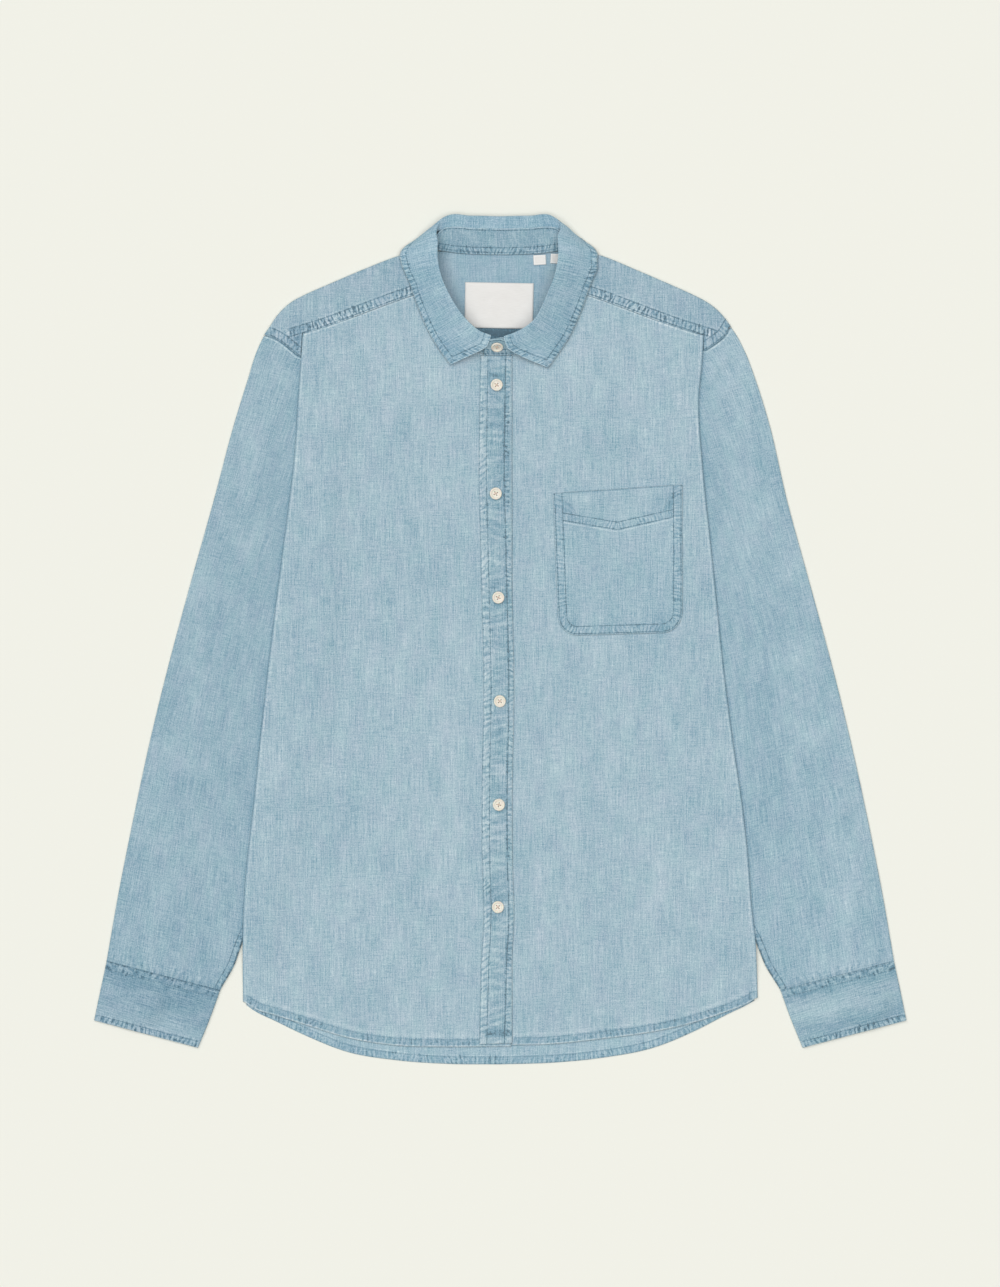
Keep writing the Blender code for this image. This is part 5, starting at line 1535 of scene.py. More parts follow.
SLEEVE_PATCHES = {
    "right": [
        (204, 270, 12, 7, 0.35), (290, -78, 16, 40, -0.16), (232, 150, 14, 120, 0.22),
        (286, -60, 16, 120, 0.24), (205, 240, 10, 20, 0.15), (318, -200, 16, 80, 0.16),
        (262, 60, 10, 60, -0.12),
    ],
    "left": [
        (226, 160, 14, 110, 0.22), (280, -60, 16, 120, 0.2), (204, 244, 9, 20, 0.15),
        (318, -210, 16, 70, 0.16), (300, 20, 9, 80, -0.12),
    ],
}
SLEEVE_DOWN = (660.0, 3.6, (0.0, 4.0, 1.6), (660.0, 14.0, 1.0))
SLEEVE_ACROSS = (150.0, 3.4, (0.0, 6.0, 1.6))
INTO_CUFF_Y = -300.0
# The walls' pinch where the sleeve's end goes into the cuff: its depth, how far in from the end it
# starts and is full, how far the end goes in, and where the relief fades out before it.
SLEEVE_PINCH = 0.62
PINCHED = (3.4, 0.8)
SLEEVE_IN_CUFF = 1.8
CUFF_END_FADE = (6.0, 2.0)
# The puckers above the cuff: their pitch, how much they spread up the sleeve, their reach, rise and wear.
CUFF_PUCKERS = {"pitch": 7.5, "spread": 3.0, "reach": 15.0, "rise": 0.7, "wear": 0.35, "level": 0.3}
LAP_PUCKERS = {"pitch": 6.0, "reach": 6.0, "rise": 0.35}
# Beside the body: its shadow's strength and width, where it starts, and how the relief fades there.
BODY_SHADE = (0.45, 2.4)
BESIDE_BODY = (-345.0, -330.0)
BODY_FADE = (1.0, 5.0)
LAP_Y = 262.0
LAP_FADE = (-0.5, 2.5)
FELL_Y = -250.0


def make_sleeve(side):
    """A sleeve from the armhole, whose curve fades out down its rings, to the cuff."""
    down, places = graded(*SLEEVE_DOWN), graded(*SLEEVE_ACROSS)
    outer = curve(SLEEVE_EDGE[side], SLEEVE_START[side] + (1 - SLEEVE_START[side]) * down)
    inner_y = UNDERARM_Y + (CUFF["inner_y"][0] - UNDERARM_Y) * down
    inner = np.stack([sleeve_inner_edge(side, inner_y), inner_y], axis=1)
    inner += (cuff_point(0.0, 0.0) - inner[-1]) * ease(inner_y, INTO_CUFF_Y, inner_y[-1])[:, None]
    hidden_y = np.linspace(UNDERARM_Y, HIDDEN_ARMHOLE["top"], HIDDEN_ARMHOLE["points"])
    hidden = {"x": side_seam(side, hidden_y), "y": hidden_y}
    whole = {name: np.concatenate([hidden[name], ARMHOLE[side][name][::-1]]) for name in ("x", "y")}
    armhole = curve(whole, places)
    sag = armhole - (armhole[0] + (armhole[-1] - armhole[0]) * places[:, None])
    fade = 1 - ease(down, 0.0, ARMHOLE_FADE)
    bulges = sag[None] * fade[:, None, None]
    into_cuff = cuff_point(0.01, 0.5) - cuff_point(0.0, 0.5)
    into_cuff = into_cuff / np.linalg.norm(into_cuff)
    seed = 90 if side == "right" else 95
    cuff_seam = np.array([cuff_point(0.0, 0.0), cuff_point(0.0, 1.0)])
    felled = inner[::6]
    lap = curve(YOKE_LAP[side], 24)

    def finish(plan):
        x, y = plan[..., 0], plan[..., 1]
        cuff_place, cuff_left = along(plan, cuff_seam)
        by_cuff = near(cuff_left, CUFF_PUCKERS["reach"])
        ridge = puckers(cuff_place, cuff_left / CUFF_PUCKERS["spread"], CUFF_PUCKERS["pitch"], seed) * by_cuff
        wear = CUFF_PUCKERS["wear"] * (ridge - CUFF_PUCKERS["level"] * by_cuff)
        relief = np.stack([CUFF_PUCKERS["rise"] * ridge, wear])
        fell_place, fell_out = along(plan, felled)
        relief += sewn(fell_place, fell_out, FELL_ROWS, seed + 1, pitch=5.0, height=0.2)
        lap_place, lap_left = along(plan, lap)
        beyond = -lap_left
        ridge = puckers(lap_place, beyond, LAP_PUCKERS["pitch"], seed + 2)
        relief[0] += LAP_PUCKERS["rise"] * ridge * near(beyond, LAP_PUCKERS["reach"])
        relief += creases(plan, SLEEVE_CREASES[side], rise=1.3, wear=1.5)
        relief += patches(plan, SLEEVE_PATCHES[side])
        by_fold = x - side_fold(side, y)
        beside_body = ease(y, *BESIDE_BODY)
        relief[0] *= 1 - (1 - ease(by_fold, *BODY_FADE)) * beside_body
        relief[1] -= BODY_SHADE[0] * near(by_fold, BODY_SHADE[1]) * beside_body
        relief[0] *= np.where(y > LAP_Y, ease(beyond, *LAP_FADE), 1.0)
        relief[0] *= 1 - ease(plan @ into_cuff, *(cuff_point(0.0, 0.5) @ into_cuff - CUFF_END_FADE))
        tops = [(fell_place, fell_out, False), (lap_place, beyond, False)]
        return relief, [*tops, (cuff_place, np.abs(cuff_left), True)]

    starts, full = (1 - reach / SLEEVE_DOWN[0] for reach in PINCHED)
    name = "sleeve_" + side
    inner[-1] += into_cuff * SLEEVE_IN_CUFF
    outer[-1] += into_cuff * SLEEVE_IN_CUFF
    pinch = SLEEVE_PINCH * ease(down, starts, full)
    made, _ = flat_tube(name, "sleeve_chambray", inner, outer, places, bulges, side, finish, pinch)
    for at in FELL_ROWS:
        lay(made, on_side(offset_path(inner[inner_y < FELL_Y][:-1], at), side))


CUFF_DOWN = 50
CUFF_ACROSS = (119.0, 1.25)
# On the right cuff, the small dark patch by its seam is painted shade in the notch of a pleat.
CUFF_PATCHES = {
    "right": [(300, -350, 20, 10, 0.14), (345, -325, 16, 12, -0.1), (309, -322, 3.0, 6, -0.9)],
    "left": [(300, -346, 30, 9, 0.1), (345, -334, 26, 10, 0.1), (270, -342, 12, 12, 0.1)],
}
# Darker and paler strips along the cuff, by how far down from its sleeve seam.
CUFF_STRIPS = table(
    "down right left",
    (0, 0.0, -0.1), (9, -0.25, -0.45), (14, -0.25, -0.1), (19, -0.15, 0.3), (28, 0.0, 0.4),
    (36, 0.15, -0.05), (44, 0.5, -0.35), (50, 0.5, -0.25), (56, 0.2, 0.1),
)
CUFF_CREASES = {
    "right": [(282, -362, 350, -340, 1, 3, 0.25), (312, -314, 306, -326, 0, 1.6, -0.5)],
    "left": [(280, -352, 350, -332, -1, 4, 0.3)],
}


def make_cuff(side):
    """A closed band, a little wider at the sleeve than at the wrist."""
    down = np.linspace(0, 1, CUFF_DOWN)
    places = graded(*CUFF_ACROSS)
    outer, inner = (np.array([cuff_point(at, out) for at in down]) for out in (1.0, 0.0))
    seed = 100 if side == "right" else 105

    def finish(plan):
        seam_place, seam_left = along(plan, plan[0, ::4])
        relief = sewn(seam_place, -seam_left, CUFF_ROWS["seam"], seed, pitch=4.4, height=0.3, dark=0.15)
        hem_place, hem_left = along(plan, plan[-1, ::4])
        relief += sewn(hem_place, hem_left, CUFF_ROWS["hem"], seed + 1, pitch=4.2, height=0.3, dark=0.15)
        relief += patches(plan, CUFF_PATCHES[side])
        relief += creases(plan, CUFF_CREASES[side])
        relief[1] += np.interp(-seam_left, CUFF_STRIPS["down"], CUFF_STRIPS[side])
        return relief, [(seam_place, -seam_left, True), (hem_place, hem_left, True)]

    made, plan = flat_tube(
        "cuff_" + side, "cuff_chambray", inner, outer, places, 0.0, side, finish, along_band=True
    )
    seam, hem = plan[0, ::3], plan[-1, ::3]
    for facing in (1, -1):
        for at in CUFF_ROWS["seam"]:
            lay(made, on_side(offset_path(seam, -at), side), facing)
        for at in CUFF_ROWS["hem"]:
            lay(made, on_side(offset_path(hem, at), side), facing)


# The slit band's grid and edge, and its two rows of stitches: how far out, their ends and their points.
SLIT_GRID = (76, 14)
SLIT_ROW_IN = 2.0
SLIT_ROWS = {"out": (-10.0, 10.0), "ends": 3.0, "points": 100}


def make_slit_band(side):
    """The slit's band, on the sleeve's underside."""
    foot, up, across = slit_line()
    run = np.linspace(SLIT_BAND["start"], SLIT_BAND["length"], SLIT_GRID[0])[:, None, None]
    out = np.linspace(-0.5, 0.5, SLIT_GRID[1])[None, :, None] * SLIT_BAND["width"]
    plan = foot + run * up + out * across
    edge = SLIT_BAND["width"] / 2 - np.abs(np.broadcast_to(out[..., 0], plan.shape[:2]))
    place = np.broadcast_to(run[..., 0], plan.shape[:2])
    wear = sewn(place, edge, (SLIT_ROW_IN,), 115, height=0.0)[1]
    height = underlay(plan) - LAYER
    under, over = (on_side(raised(plan, height + rise), side) for rise in (0, CLOTH))
    name = "sleeve_placket_" + side
    made = shell(name, under, over, plan, wear, "band_chambray", cloth="slit_band", seams=[(place, edge)])
    run = np.linspace(SLIT_ROWS["ends"], SLIT_BAND["length"] - SLIT_ROWS["ends"], SLIT_ROWS["points"])
    middle = foot + run[:, None] * up
    for out in SLIT_ROWS["out"]:
        lay(made, on_side(middle + across * out, side), -1)


# ---- Collar --------------------------------------------------------------------------------------


def collar_sections(count):
    """Evenly spaced sections of one half of the collar, from the back to the front."""
    steps = 0.0
    for part in ("neck", "roll"):
        line = np.stack([COLLAR[part + "_x"], COLLAR[part + "_y"]], axis=1)
        steps = steps + np.linalg.norm(np.diff(line, axis=0), axis=1)
    sizes = dict(COLLAR, s=np.concatenate([[0.0], np.cumsum(steps)]))
    at = np.linspace(0, sizes["s"][-1], count)
    read = {name: smooth(sizes, name, at, "s") for name in COLLAR}
    section = {
        part: np.stack([read[part + axis] for axis in ("_x", "_y", "_z")], axis=1)
        for part in ("neck", "roll", "edge")
    }
    seam = section["neck"] + (section["roll"] - section["neck"]) * read["seam"][:, None]
    seam[:, 2] = read["seam_z"]
    section["seam"] = seam
    return section


def whole_collar(half):
    """A half's rows, mirrored, so that they run from the wearer's right front end to the left one."""
    return np.concatenate([(half * (-1, 1, 1))[::-1], half[1:]])


def walked(grid, axis):
    """How far each point lies along its row or column."""
    steps = np.linalg.norm(np.diff(grid, axis=axis), axis=2)
    total = np.cumsum(steps, axis=axis)
    pad = np.zeros_like(np.take(total, [0], axis=axis))
    return np.concatenate([pad, total], axis=axis)


# Patches on the leaf: the last two, at its front ends over the stand, are painted light that lifts the shadow
# there.
LEAF_PATCHES = [
    (44, 267, 12, 12, 0.16), (-62, 320, 8, 22, -0.12), (64, 322, 8, 20, -0.16), (60, 300, 8, 10, -0.12),
    (-44, 266, 13, 13, -0.42), (48, 262, 7, 8, -0.25), (-74, 352, 8, 10, 0.12), (76, 350, 8, 12, 0.12),
    (30, 280, 8, 6, -0.1), (-14, 275, 4, 5, 0.45), (4, 275, 4, 5, 0.45),
]
LEAF_CREASES = [(-24, 276, -34, 264, 0, 2.0, 0.35), (-30, 279, -38, 268, 0, 2.0, 0.3)]
LEAF_RELIEF_FADE = (3.0, 8.0)
LEAF_ROLL_WEAR = {"wear": 0.1, "at": 9.0, "width": 6.0}
LEAF_INNER_WEAR = -0.1
LEAF_PLACE = 7.0
LEAF_GRAIN_COLUMN = 14
LEAF_UP_COLUMN = -6
# Its stitches: the back of the neck has none, and at the front ends they start past the roll.
LEAF_STITCHED_TO = 352.0
LEAF_END_COLUMN = LEAF_STEPS * 2 // 5
LEAF_END_ROWS = 40


def leaf_middle():
    """The leaf's middle surface, from the right front end round to the left one, seam to edge."""
    section = collar_sections(LEAF_ROWS)
    seam = section["seam"] + (section["roll"] - section["seam"]) * LEAF_START
    apex = (8 * section["roll"] - section["seam"] - section["edge"]) / 6
    t = (np.linspace(0, 1, LEAF_STEPS) ** LEAF_CROWD)[:, None]
    half = np.array([
        (1 - t) ** 3 * start + 3 * t * (1 - t) * turn + t**3 * end
        for start, turn, end in zip(seam, apex, section["edge"])
    ])
    t = t[:, 0]
    to_front = np.linalg.norm(half - half[-1:], axis=2)
    by_front = 1 - ease(to_front, 0.0, LEAF_FRONT_REACH)
    drop = np.stack([np.interp(t, LEAF_FRONT["t"], LEAF_FRONT[axis]) for axis in "xyz"], axis=1)
    half = half + drop * by_front[..., None]
    middle = whole_collar(half)
    by_front = np.concatenate([by_front[::-1], by_front[1:]])
    for side, rows in (("right", slice(0, len(half))), ("left", slice(len(half), None))):
        drop = np.stack([np.interp(t, LEAF_END["t"], LEAF_END[side + axis]) for axis in ("_x", "_y")], axis=1)
        middle[rows, :, :2] += drop * by_front[rows, :, None]
    middle[..., 1] -= ROLL_DROP[0] * ease(middle[..., 1], *ROLL_DROP[1])
    for side, out, up, reach, end in ROLL_CORNERS:
        share = ease(middle[..., 0] * SIDES[side], *out) * ease(middle[..., 1], *up)
        if end:
            share = share * (1 - ease(middle[..., 1], *end))
        middle[..., 0] += SIDES[side] * reach * share
    leaning = ease(middle[..., 0], *LEFT_LEAN_AT["out"]) * ease(middle[..., 1], *LEFT_LEAN_AT["up"])
    middle[..., 0] -= LEFT_ROLL_LEAN * leaning * np.sin(math.pi * t)
    return middle


def make_collar_leaf():
    """The leaf, from its seam up over the roll and down to its edge."""
    middle = leaf_middle()
    from_seam, from_front = walked(middle, 1), walked(middle, 0)
    to_edge = from_seam[:, -1:] - from_seam
    to_front = np.minimum(from_front, from_front[-1:] - from_front)
    out = np.minimum(to_edge, to_front)
    along_edge = np.broadcast_to(from_front[:, -1:], out.shape)
    place = np.where(to_front < to_edge, from_seam + LEAF_PLACE, along_edge)
    relief = sewn(place, out, (LEAF_ROW,), 121, pitch=4.8, height=0.34, dark=0.1)
    relief[0] *= ease(from_seam, *LEAF_RELIEF_FADE)
    relief[1] += LEAF_ROLL_WEAR["wear"] * near(from_seam - LEAF_ROLL_WEAR["at"], LEAF_ROLL_WEAR["width"])
    relief[1] -= ROLL_SHADE[0] * ease(middle[..., 1], *ROLL_SHADE[1])
    relief += patches(middle[..., :2], LEAF_PATCHES)
    relief += creases(middle[..., :2], LEAF_CREASES)
    normal = normals(middle)
    normal = normal * np.sign(normal[0, LEAF_UP_COLUMN, 2])
    tucked = LEAF_TUCK[0] * (1 - ease(from_seam, *LEAF_TUCK[1]))
    outer = middle + normal * (COLLAR_WALL / 2 + relief[0] - 0.1 - tucked)[..., None]
    inner = middle + normal * (COLLAR_WALL / 2 - CLOTH - 0.2 - tucked)[..., None]
    grain_x = from_front[:, LEAF_GRAIN_COLUMN : LEAF_GRAIN_COLUMN + 1]
    grain = np.stack([np.broadcast_to(grain_x, out.shape), from_seam], axis=2)
    seams = [(place, out)]
    shell("collar_leaf", outer, inner, grain, relief[1], "collar_chambray", LEAF_INNER_WEAR, seams=seams)

    def thread_point(outers, ups, at):
        return [through(grid, np.array([at]))[0] for grid in (outers, ups)]

    rows = {"right": [], "left": []}
    for row in np.flatnonzero((to_front[:, -1] >= LEAF_ROW) & (middle[:, -1, 1] <= LEAF_STITCHED_TO)):
        at = np.interp(LEAF_ROW, to_edge[row, ::-1], np.linspace(1, 0, LEAF_STEPS))
        side = "right" if row < LEAF_ROWS else "left"
        rows[side].append(thread_point(outer[row], normal[row], at))
    ends = [[], []]
    last = len(middle) - 1
    for end, lengths in enumerate((from_front, (from_front[-1:] - from_front)[::-1])):
        for column in range(LEAF_END_COLUMN, LEAF_STEPS):
            at = np.interp(LEAF_ROW, lengths[:LEAF_END_ROWS, column], np.arange(LEAF_END_ROWS))
            row = last - at if end else at
            if to_edge[last - int(at) if end else int(at), column] >= LEAF_ROW:
                ends[end].append(thread_point(outer[:, column], normal[:, column], row / last))
    for row in (*rows.values(), *ends):
        stitch(*zip(*row))


def outward_normals(grid):
    """The normals of the collar's surfaces that point away from the neck's middle."""
    normal = normals(grid)
    away = grid - NECK_MIDDLE
    facing = np.sign(np.sum(normal[..., :2] * away[..., :2], axis=2, keepdims=True))
    return normal * facing


def stand_middle():
    """The stand's middle surface, from the underlap's end round the neck to the overlap's end."""
    section = collar_sections(STAND_SECTIONS)
    up = np.linspace(0, 1, STAND_STEPS + 1)[:, None]
    rows = zip(section["neck"], section["seam"])
    ring = whole_collar(np.array([low + (high - low) * up for low, high in rows]))
    low, high = np.array(STAND_END["neck"]), np.array(STAND_END["top"])
    ends = {}
    for side, lap in STAND_LAPS.items():
        ends[side] = [
            low + (high - low) * up * (1 - STAND_ROUNDING * part**2) + (lap * part, 0, 0)
            for part in np.linspace(0, 1, STAND_LAP_STEPS + 1)
        ]
    middle = np.concatenate([ends["right"][::-1], ring, ends["left"]])
    from_end = np.arange(len(middle))[::-1, None, None]
    lapped = 1 - ease(from_end, STAND_LAP_STEPS, 2 * STAND_LAP_STEPS + 2)
    return middle + outward_normals(middle) * COLLAR_LAP * lapped


# Wear and puckers between the stand's rows, on its inside, and its row of stitches outside.
STAND_AMID = {"up": (8.0, 11.0), "down": (2.0, 5.0), "pitch": 9.0, "wear": 0.5, "level": 0.35}
STAND_OUTSIDE_ROW = 1.6
STAND_INSET = 0.05
BEHIND_NECK = 320.0
STAND_UP_COLUMN = 4


def finer(grid):
    """The stand's coarse grid, smoothed to its fine one."""
    count, steps = STAND_GRID
    rows = through(grid, np.linspace(0, 1, count))
    return np.moveaxis(through(np.moveaxis(rows, 1, 0), np.linspace(0, 1, steps)), 0, 1)


def make_collar_stand():
    """The neckband, which shows inside the neck and under the top button."""
    coarse = stand_middle()
    middle, normal = finer(coarse), finer(outward_normals(coarse))
    normal = normal / np.linalg.norm(normal, axis=2, keepdims=True)
    up, place = walked(middle, 1), walked(middle, 0)
    place = np.broadcast_to(place[:, :1], up.shape)
    down = up[:, -1:] - up
    inside = sewn(place, up, STAND_ROWS["neck"], 131, pitch=4.6, height=0.3)
    inside += sewn(place, down, (STAND_ROWS["seam"],), 132, pitch=6.0, height=0.15, dark=0.05)
    amid = ease(up, *STAND_AMID["up"]) * ease(down, *STAND_AMID["down"])
    ridge = puckers(place, up * 2, STAND_AMID["pitch"], 133) - STAND_AMID["level"]
    inside[1] += STAND_AMID["wear"] * ridge * amid
    outside = sewn(place, up, (STAND_OUTSIDE_ROW,), 134, pitch=4.6, height=0.2)
    # A painted shadow on the top of the stand's front.
    at_x, wide, deep, wear = STAND_TOP_SHADE
    at_front = middle[..., 1] < NECK_MIDDLE[1]
    outside[1] += wear * near(middle[..., 0] - at_x, wide) * near(down, deep) * at_front
    outer = middle + normal * (COLLAR_WALL / 2 - STAND_INSET + outside[0][..., None])
    inner = middle - normal * (COLLAR_WALL / 2 - STAND_INSET + inside[0][..., None])
    grain = np.stack([place, up], axis=2)
    seams = [(place, up), (place, down)]
    shell("collar_stand", outer, inner, grain, outside[1], "collar_chambray", inside[1], seams=seams)
    behind = np.flatnonzero(middle[:, 0, 1] > BEHIND_NECK)
    shares = [(at / up[:, -1], STAND_UP_COLUMN) for at in STAND_ROWS["neck"]]
    shares.append((1 - STAND_ROWS["seam"] / up[:, -1], -STAND_UP_COLUMN))
    for share, column in shares:
        rows = [through(inner[n], share[n : n + 1])[0] for n in behind]
        stitch(rows, -normal[behind, column])
    return coarse


# ---- Labels --------------------------------------------------------------------------------------


LABEL_GRID = (40, 28)
LABEL_SHRINK = 0.9
# How a label stands: its middle's height, the curl of its ends, its waves and its edge's dip, and the
# lines of wear in from its edge as (how far in, width, wear).
LABEL_HEIGHT = 0.65
LABEL_CURL = 0.25
LABEL_WAVE = (0.12, 5.0, 3.0)
LABEL_DIP = (0.25, 0.5)
LABEL_LINES = [(0.9, 0.6, 0.6), (2.2, 0.5, -0.3)]
LABEL_THICK = 0.35


def make_label(name, turn, rise=0.0):
    """A bare woven label, flat on the inner yoke, turned a little and made longer at its top."""
    low, high = (np.array(corner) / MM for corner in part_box(name))
    high[1] += rise
    x = np.linspace(low[0], high[0], LABEL_GRID[0])[None, :]
    y = np.linspace(high[1], low[1], LABEL_GRID[1])[:, None]
    x, y = np.broadcast_arrays(x, y)
    plan = np.stack([x, y], axis=2).astype(float)
    middle, size = (low + high)[:2] / 2, high - low
    angle = math.radians(turn)
    sine_of, cosine_of = math.sin(angle), math.cos(angle)
    turned = (plan - middle) @ np.array([[cosine_of, sine_of], [-sine_of, cosine_of]])
    plan = middle + turned * (1 - abs(sine_of) * LABEL_SHRINK)
    edge = np.minimum(np.minimum(x - low[0], high[0] - x), np.minimum(y - low[1], high[1] - y))
    curl = LABEL_CURL * ((y - middle[1]) / size[1] * 2) ** 2
    soft = LABEL_WAVE[0] * np.sin(x / size[0] * LABEL_WAVE[1] + y / size[1] * LABEL_WAVE[2])
    top = raised(plan, low[2] + LABEL_HEIGHT + curl + soft - LABEL_DIP[0] * near(edge, LABEL_DIP[1]))
    wear = sum(wear * near(edge - at, width) for at, width, wear in LABEL_LINES)
    shell(name, top, top - (0, 0, LABEL_THICK), plan, wear, "label_cloth", cloth="label")


# ---- Buttons -------------------------------------------------------------------------------------

# Half a section of a button, from its middle over the rim and round to its back.
BUTTON_SECTION = [
    (0.0, 1.12), (2.2, 1.14), (3.1, 1.24), (3.7, 1.55), (4.1, 1.95), (4.55, 2.17), (5.0, 2.16),
    (5.35, 1.95), (5.56, 1.55), (5.6, 1.15), (5.4, 0.55), (4.9, 0.14), (4.2, 0.0), (0.0, 0.0),
]
BUTTON_SIDES = 44
BUTTON_FACE = BUTTON_SECTION[0][1]
HOLE_TURNS = (45, 135, 225, 315)
DRILL = {"segments": 16, "depth": 8 * MM, "radius1": HOLE_RADIUS * MM, "radius2": HOLE_RADIUS * MM}
SHARP = math.radians(35)
# The thread's two loops, as their turn and lift, the strands side by side in each, and how a strand is
# drawn together, rises over the middle and goes down into the holes at its ends.
LOOPS = [(45, 0.0), (135, 0.18)]
STRANDS = {"beside": (-0.28, 0.0, 0.28), "drawn": 0.45, "rise": 0.36, "down": 0.9, "radius": 0.17}
STRAND_POINTS = 9
STRAND_SIDES = 6
FRONT_BUTTON_TURNS = (8, -14, 20, 3, 32, -6)
CUFF_BUTTON_TURN = 12


def turned_button():
    """A four-hole button and its crossed thread, at the origin, facing up."""
    rings = BUTTON_SECTION[1:-1]
    angles = np.arange(BUTTON_SIDES) / BUTTON_SIDES * 2 * math.pi
    points = [(radius * math.cos(a), radius * math.sin(a), z) for radius, z in rings for a in angles]
    points += [(0.0, 0.0, BUTTON_FACE), (0.0, 0.0, 0.0)]
    faces = []
    for ring in range(len(rings) - 1):
        for side in range(BUTTON_SIDES):
            after = (side + 1) % BUTTON_SIDES
            a, b = ring * BUTTON_SIDES, (ring + 1) * BUTTON_SIDES
            faces.append((a + side, b + side, b + after, a + after))
    last = (len(rings) - 1) * BUTTON_SIDES
    for side in range(BUTTON_SIDES):
        after = (side + 1) % BUTTON_SIDES
        faces.append((len(points) - 2, side, after))
        faces.append((len(points) - 1, last + after, last + side))
    mesh = bpy.data.meshes.new("button_blank")
    mesh.from_pydata((np.array(points) * MM).tolist(), [], faces)
    blank = add_object("button_blank", mesh)
    drills = bmesh.new()
    for turn in HOLE_TURNS:
        angle = math.radians(turn)
        at = Matrix.Translation(Vector((math.cos(angle), math.sin(angle), 0)) * HOLE_OFFSET * MM)
        bmesh.ops.create_cone(drills, cap_ends=True, matrix=at, **DRILL)
    cutter_mesh = bpy.data.meshes.new("button_drills")
    drills.to_mesh(cutter_mesh)
    drills.free()
    cutter = add_object("button_drills", cutter_mesh)
    cut = blank.modifiers.new("holes", "BOOLEAN")
    cut.operation = "DIFFERENCE"
    cut.solver = "EXACT"
    cut.object = cutter
    bpy.context.view_layer.update()
    made = bpy.data.meshes.new_from_object(blank.evaluated_get(bpy.context.evaluated_depsgraph_get()))
    for helper in (blank, cutter):
        bpy.data.objects.remove(helper)
    made.shade_smooth()
    made.set_sharp_from_angle(angle=SHARP)
    return made


def thread_cross():
    """Two crossed loops of thread through the button's holes, as points and faces of small tubes."""
    points, faces = [], []
    for turn, lift in LOOPS:
        way = np.array([math.cos(math.radians(turn)), math.sin(math.radians(turn))])
        across = np.array([-way[1], way[0]])
        for beside in STRANDS["beside"]:
            spots = []
            for part in np.linspace(-1, 1, STRAND_POINTS):
                plan = way * part * HOLE_OFFSET + across * beside * (1 - STRANDS["drawn"] * abs(part))
                rise = (STRANDS["rise"] + lift) * (1 - abs(part) ** 3) - STRANDS["down"] * abs(part) ** 9
                spots.append((*plan, BUTTON_FACE + rise))
            spots = np.array(spots)
            base = len(points)
            for spot, run in zip(spots, np.gradient(spots, axis=0)):
                run = run / np.linalg.norm(run)
                side = np.array([*across, 0.0])
                up = np.cross(run, side)
                for angle in np.arange(STRAND_SIDES) / STRAND_SIDES * 2 * math.pi:
                    points.append(spot + STRANDS["radius"] * (side * math.cos(angle) + up * math.sin(angle)))
            for a in range(base, base + (STRAND_POINTS - 1) * STRAND_SIDES, STRAND_SIDES):
                b = a + STRAND_SIDES
                for n in range(STRAND_SIDES):
                    after = (n + 1) % STRAND_SIDES
                    faces.append((a + n, a + after, b + after, b + n))
            faces.append(tuple(base + n for n in range(STRAND_SIDES)))
            last = base + (STRAND_POINTS - 1) * STRAND_SIDES
            faces.append(tuple(last + n for n in reversed(range(STRAND_SIDES))))
    return np.array(points) * MM, faces


def add_button(name, blank, cross, at, facing, turn):
    """A sewn-on button with its back at `at` and its face along `facing`."""
    build = bmesh.new()
    build.from_mesh(blank)
    for face in build.faces:
        face.material_index = 0
        face.smooth = True
    made_points = [build.verts.new(point) for point in cross[0]]
    for corners in cross[1]:
        face = build.faces.new([made_points[n] for n in corners])
        face.material_index = 1
        face.smooth = True
    bmesh.ops.recalc_face_normals(build, faces=[f for f in build.faces if f.material_index == 1])
    tilt = Vector(facing).to_track_quat("Z", "Y").to_matrix().to_4x4()
    place = Matrix.Translation(Vector(at) * MM) @ tilt @ Matrix.Rotation(math.radians(turn), 4, "Z")
    bmesh.ops.transform(build, matrix=place, verts=build.verts)
    mesh = bpy.data.meshes.new(name)
    build.to_mesh(mesh)
    build.free()
    mesh.set_sharp_from_angle(angle=SHARP)
    mesh.materials.append(MATERIALS["button"])
    mesh.materials.append(MATERIALS["button_thread"])
    keep(add_object(name + "_sewn", mesh), name, slot="button_cream")


def add_buttons(stand):
    """Six down the band, one on the stand, which leans with it, and one under each cuff."""
    blank, cross = turned_button(), thread_cross()
    flat = [(f"button_front_{number}", 1, turn) for number, turn in enumerate(FRONT_BUTTON_TURNS, start=1)]
    flat += [("button_cuff_" + side, -1, CUFF_BUTTON_TURN) for side in SIDES]
    for name, facing, turn in flat:
        low, high = (np.array(corner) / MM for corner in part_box(name))
        back = low[2] if facing > 0 else high[2]
        add_button(name, blank, cross, (*((low + high) / 2)[:2], back), (0, 0, facing), turn)
    first = len(stand) - STAND_LAP_STEPS - 1
    row = first + int(np.argmin(np.abs(stand[first:, 0, 0] - STAND_BUTTON["x"])))
    low, high = stand[row, 0], stand[row, -1]
    facing = np.cross(high - low, (1.0, 0.0, 0.0))
    facing = facing / np.linalg.norm(facing) * (-np.sign(facing[1]))
    facing = facing - (0.0, STAND_BUTTON["tilt"], 0.0)
    facing = facing / np.linalg.norm(facing)
    out = COLLAR_WALL / 2 + GAP + STAND_BUTTON["clear"]
    at = low + (high - low) * STAND_BUTTON["up"] + facing * out
    at[0] = STAND_BUTTON["x"]
    add_button("button_stand", blank, cross, at, facing, STAND_BUTTON["turn"])


# ---- Stitches ------------------------------------------------------------------------------------

STITCH_PITCH = 2.7
STITCH_LENGTH = 2.15
STITCH_THICK = 0.42
STITCH_WOBBLE = 0.11
STITCH_SEED = 7
STITCH_ROUND = {"Segments": 6, "Rings": 4, "Radius": 0.5}


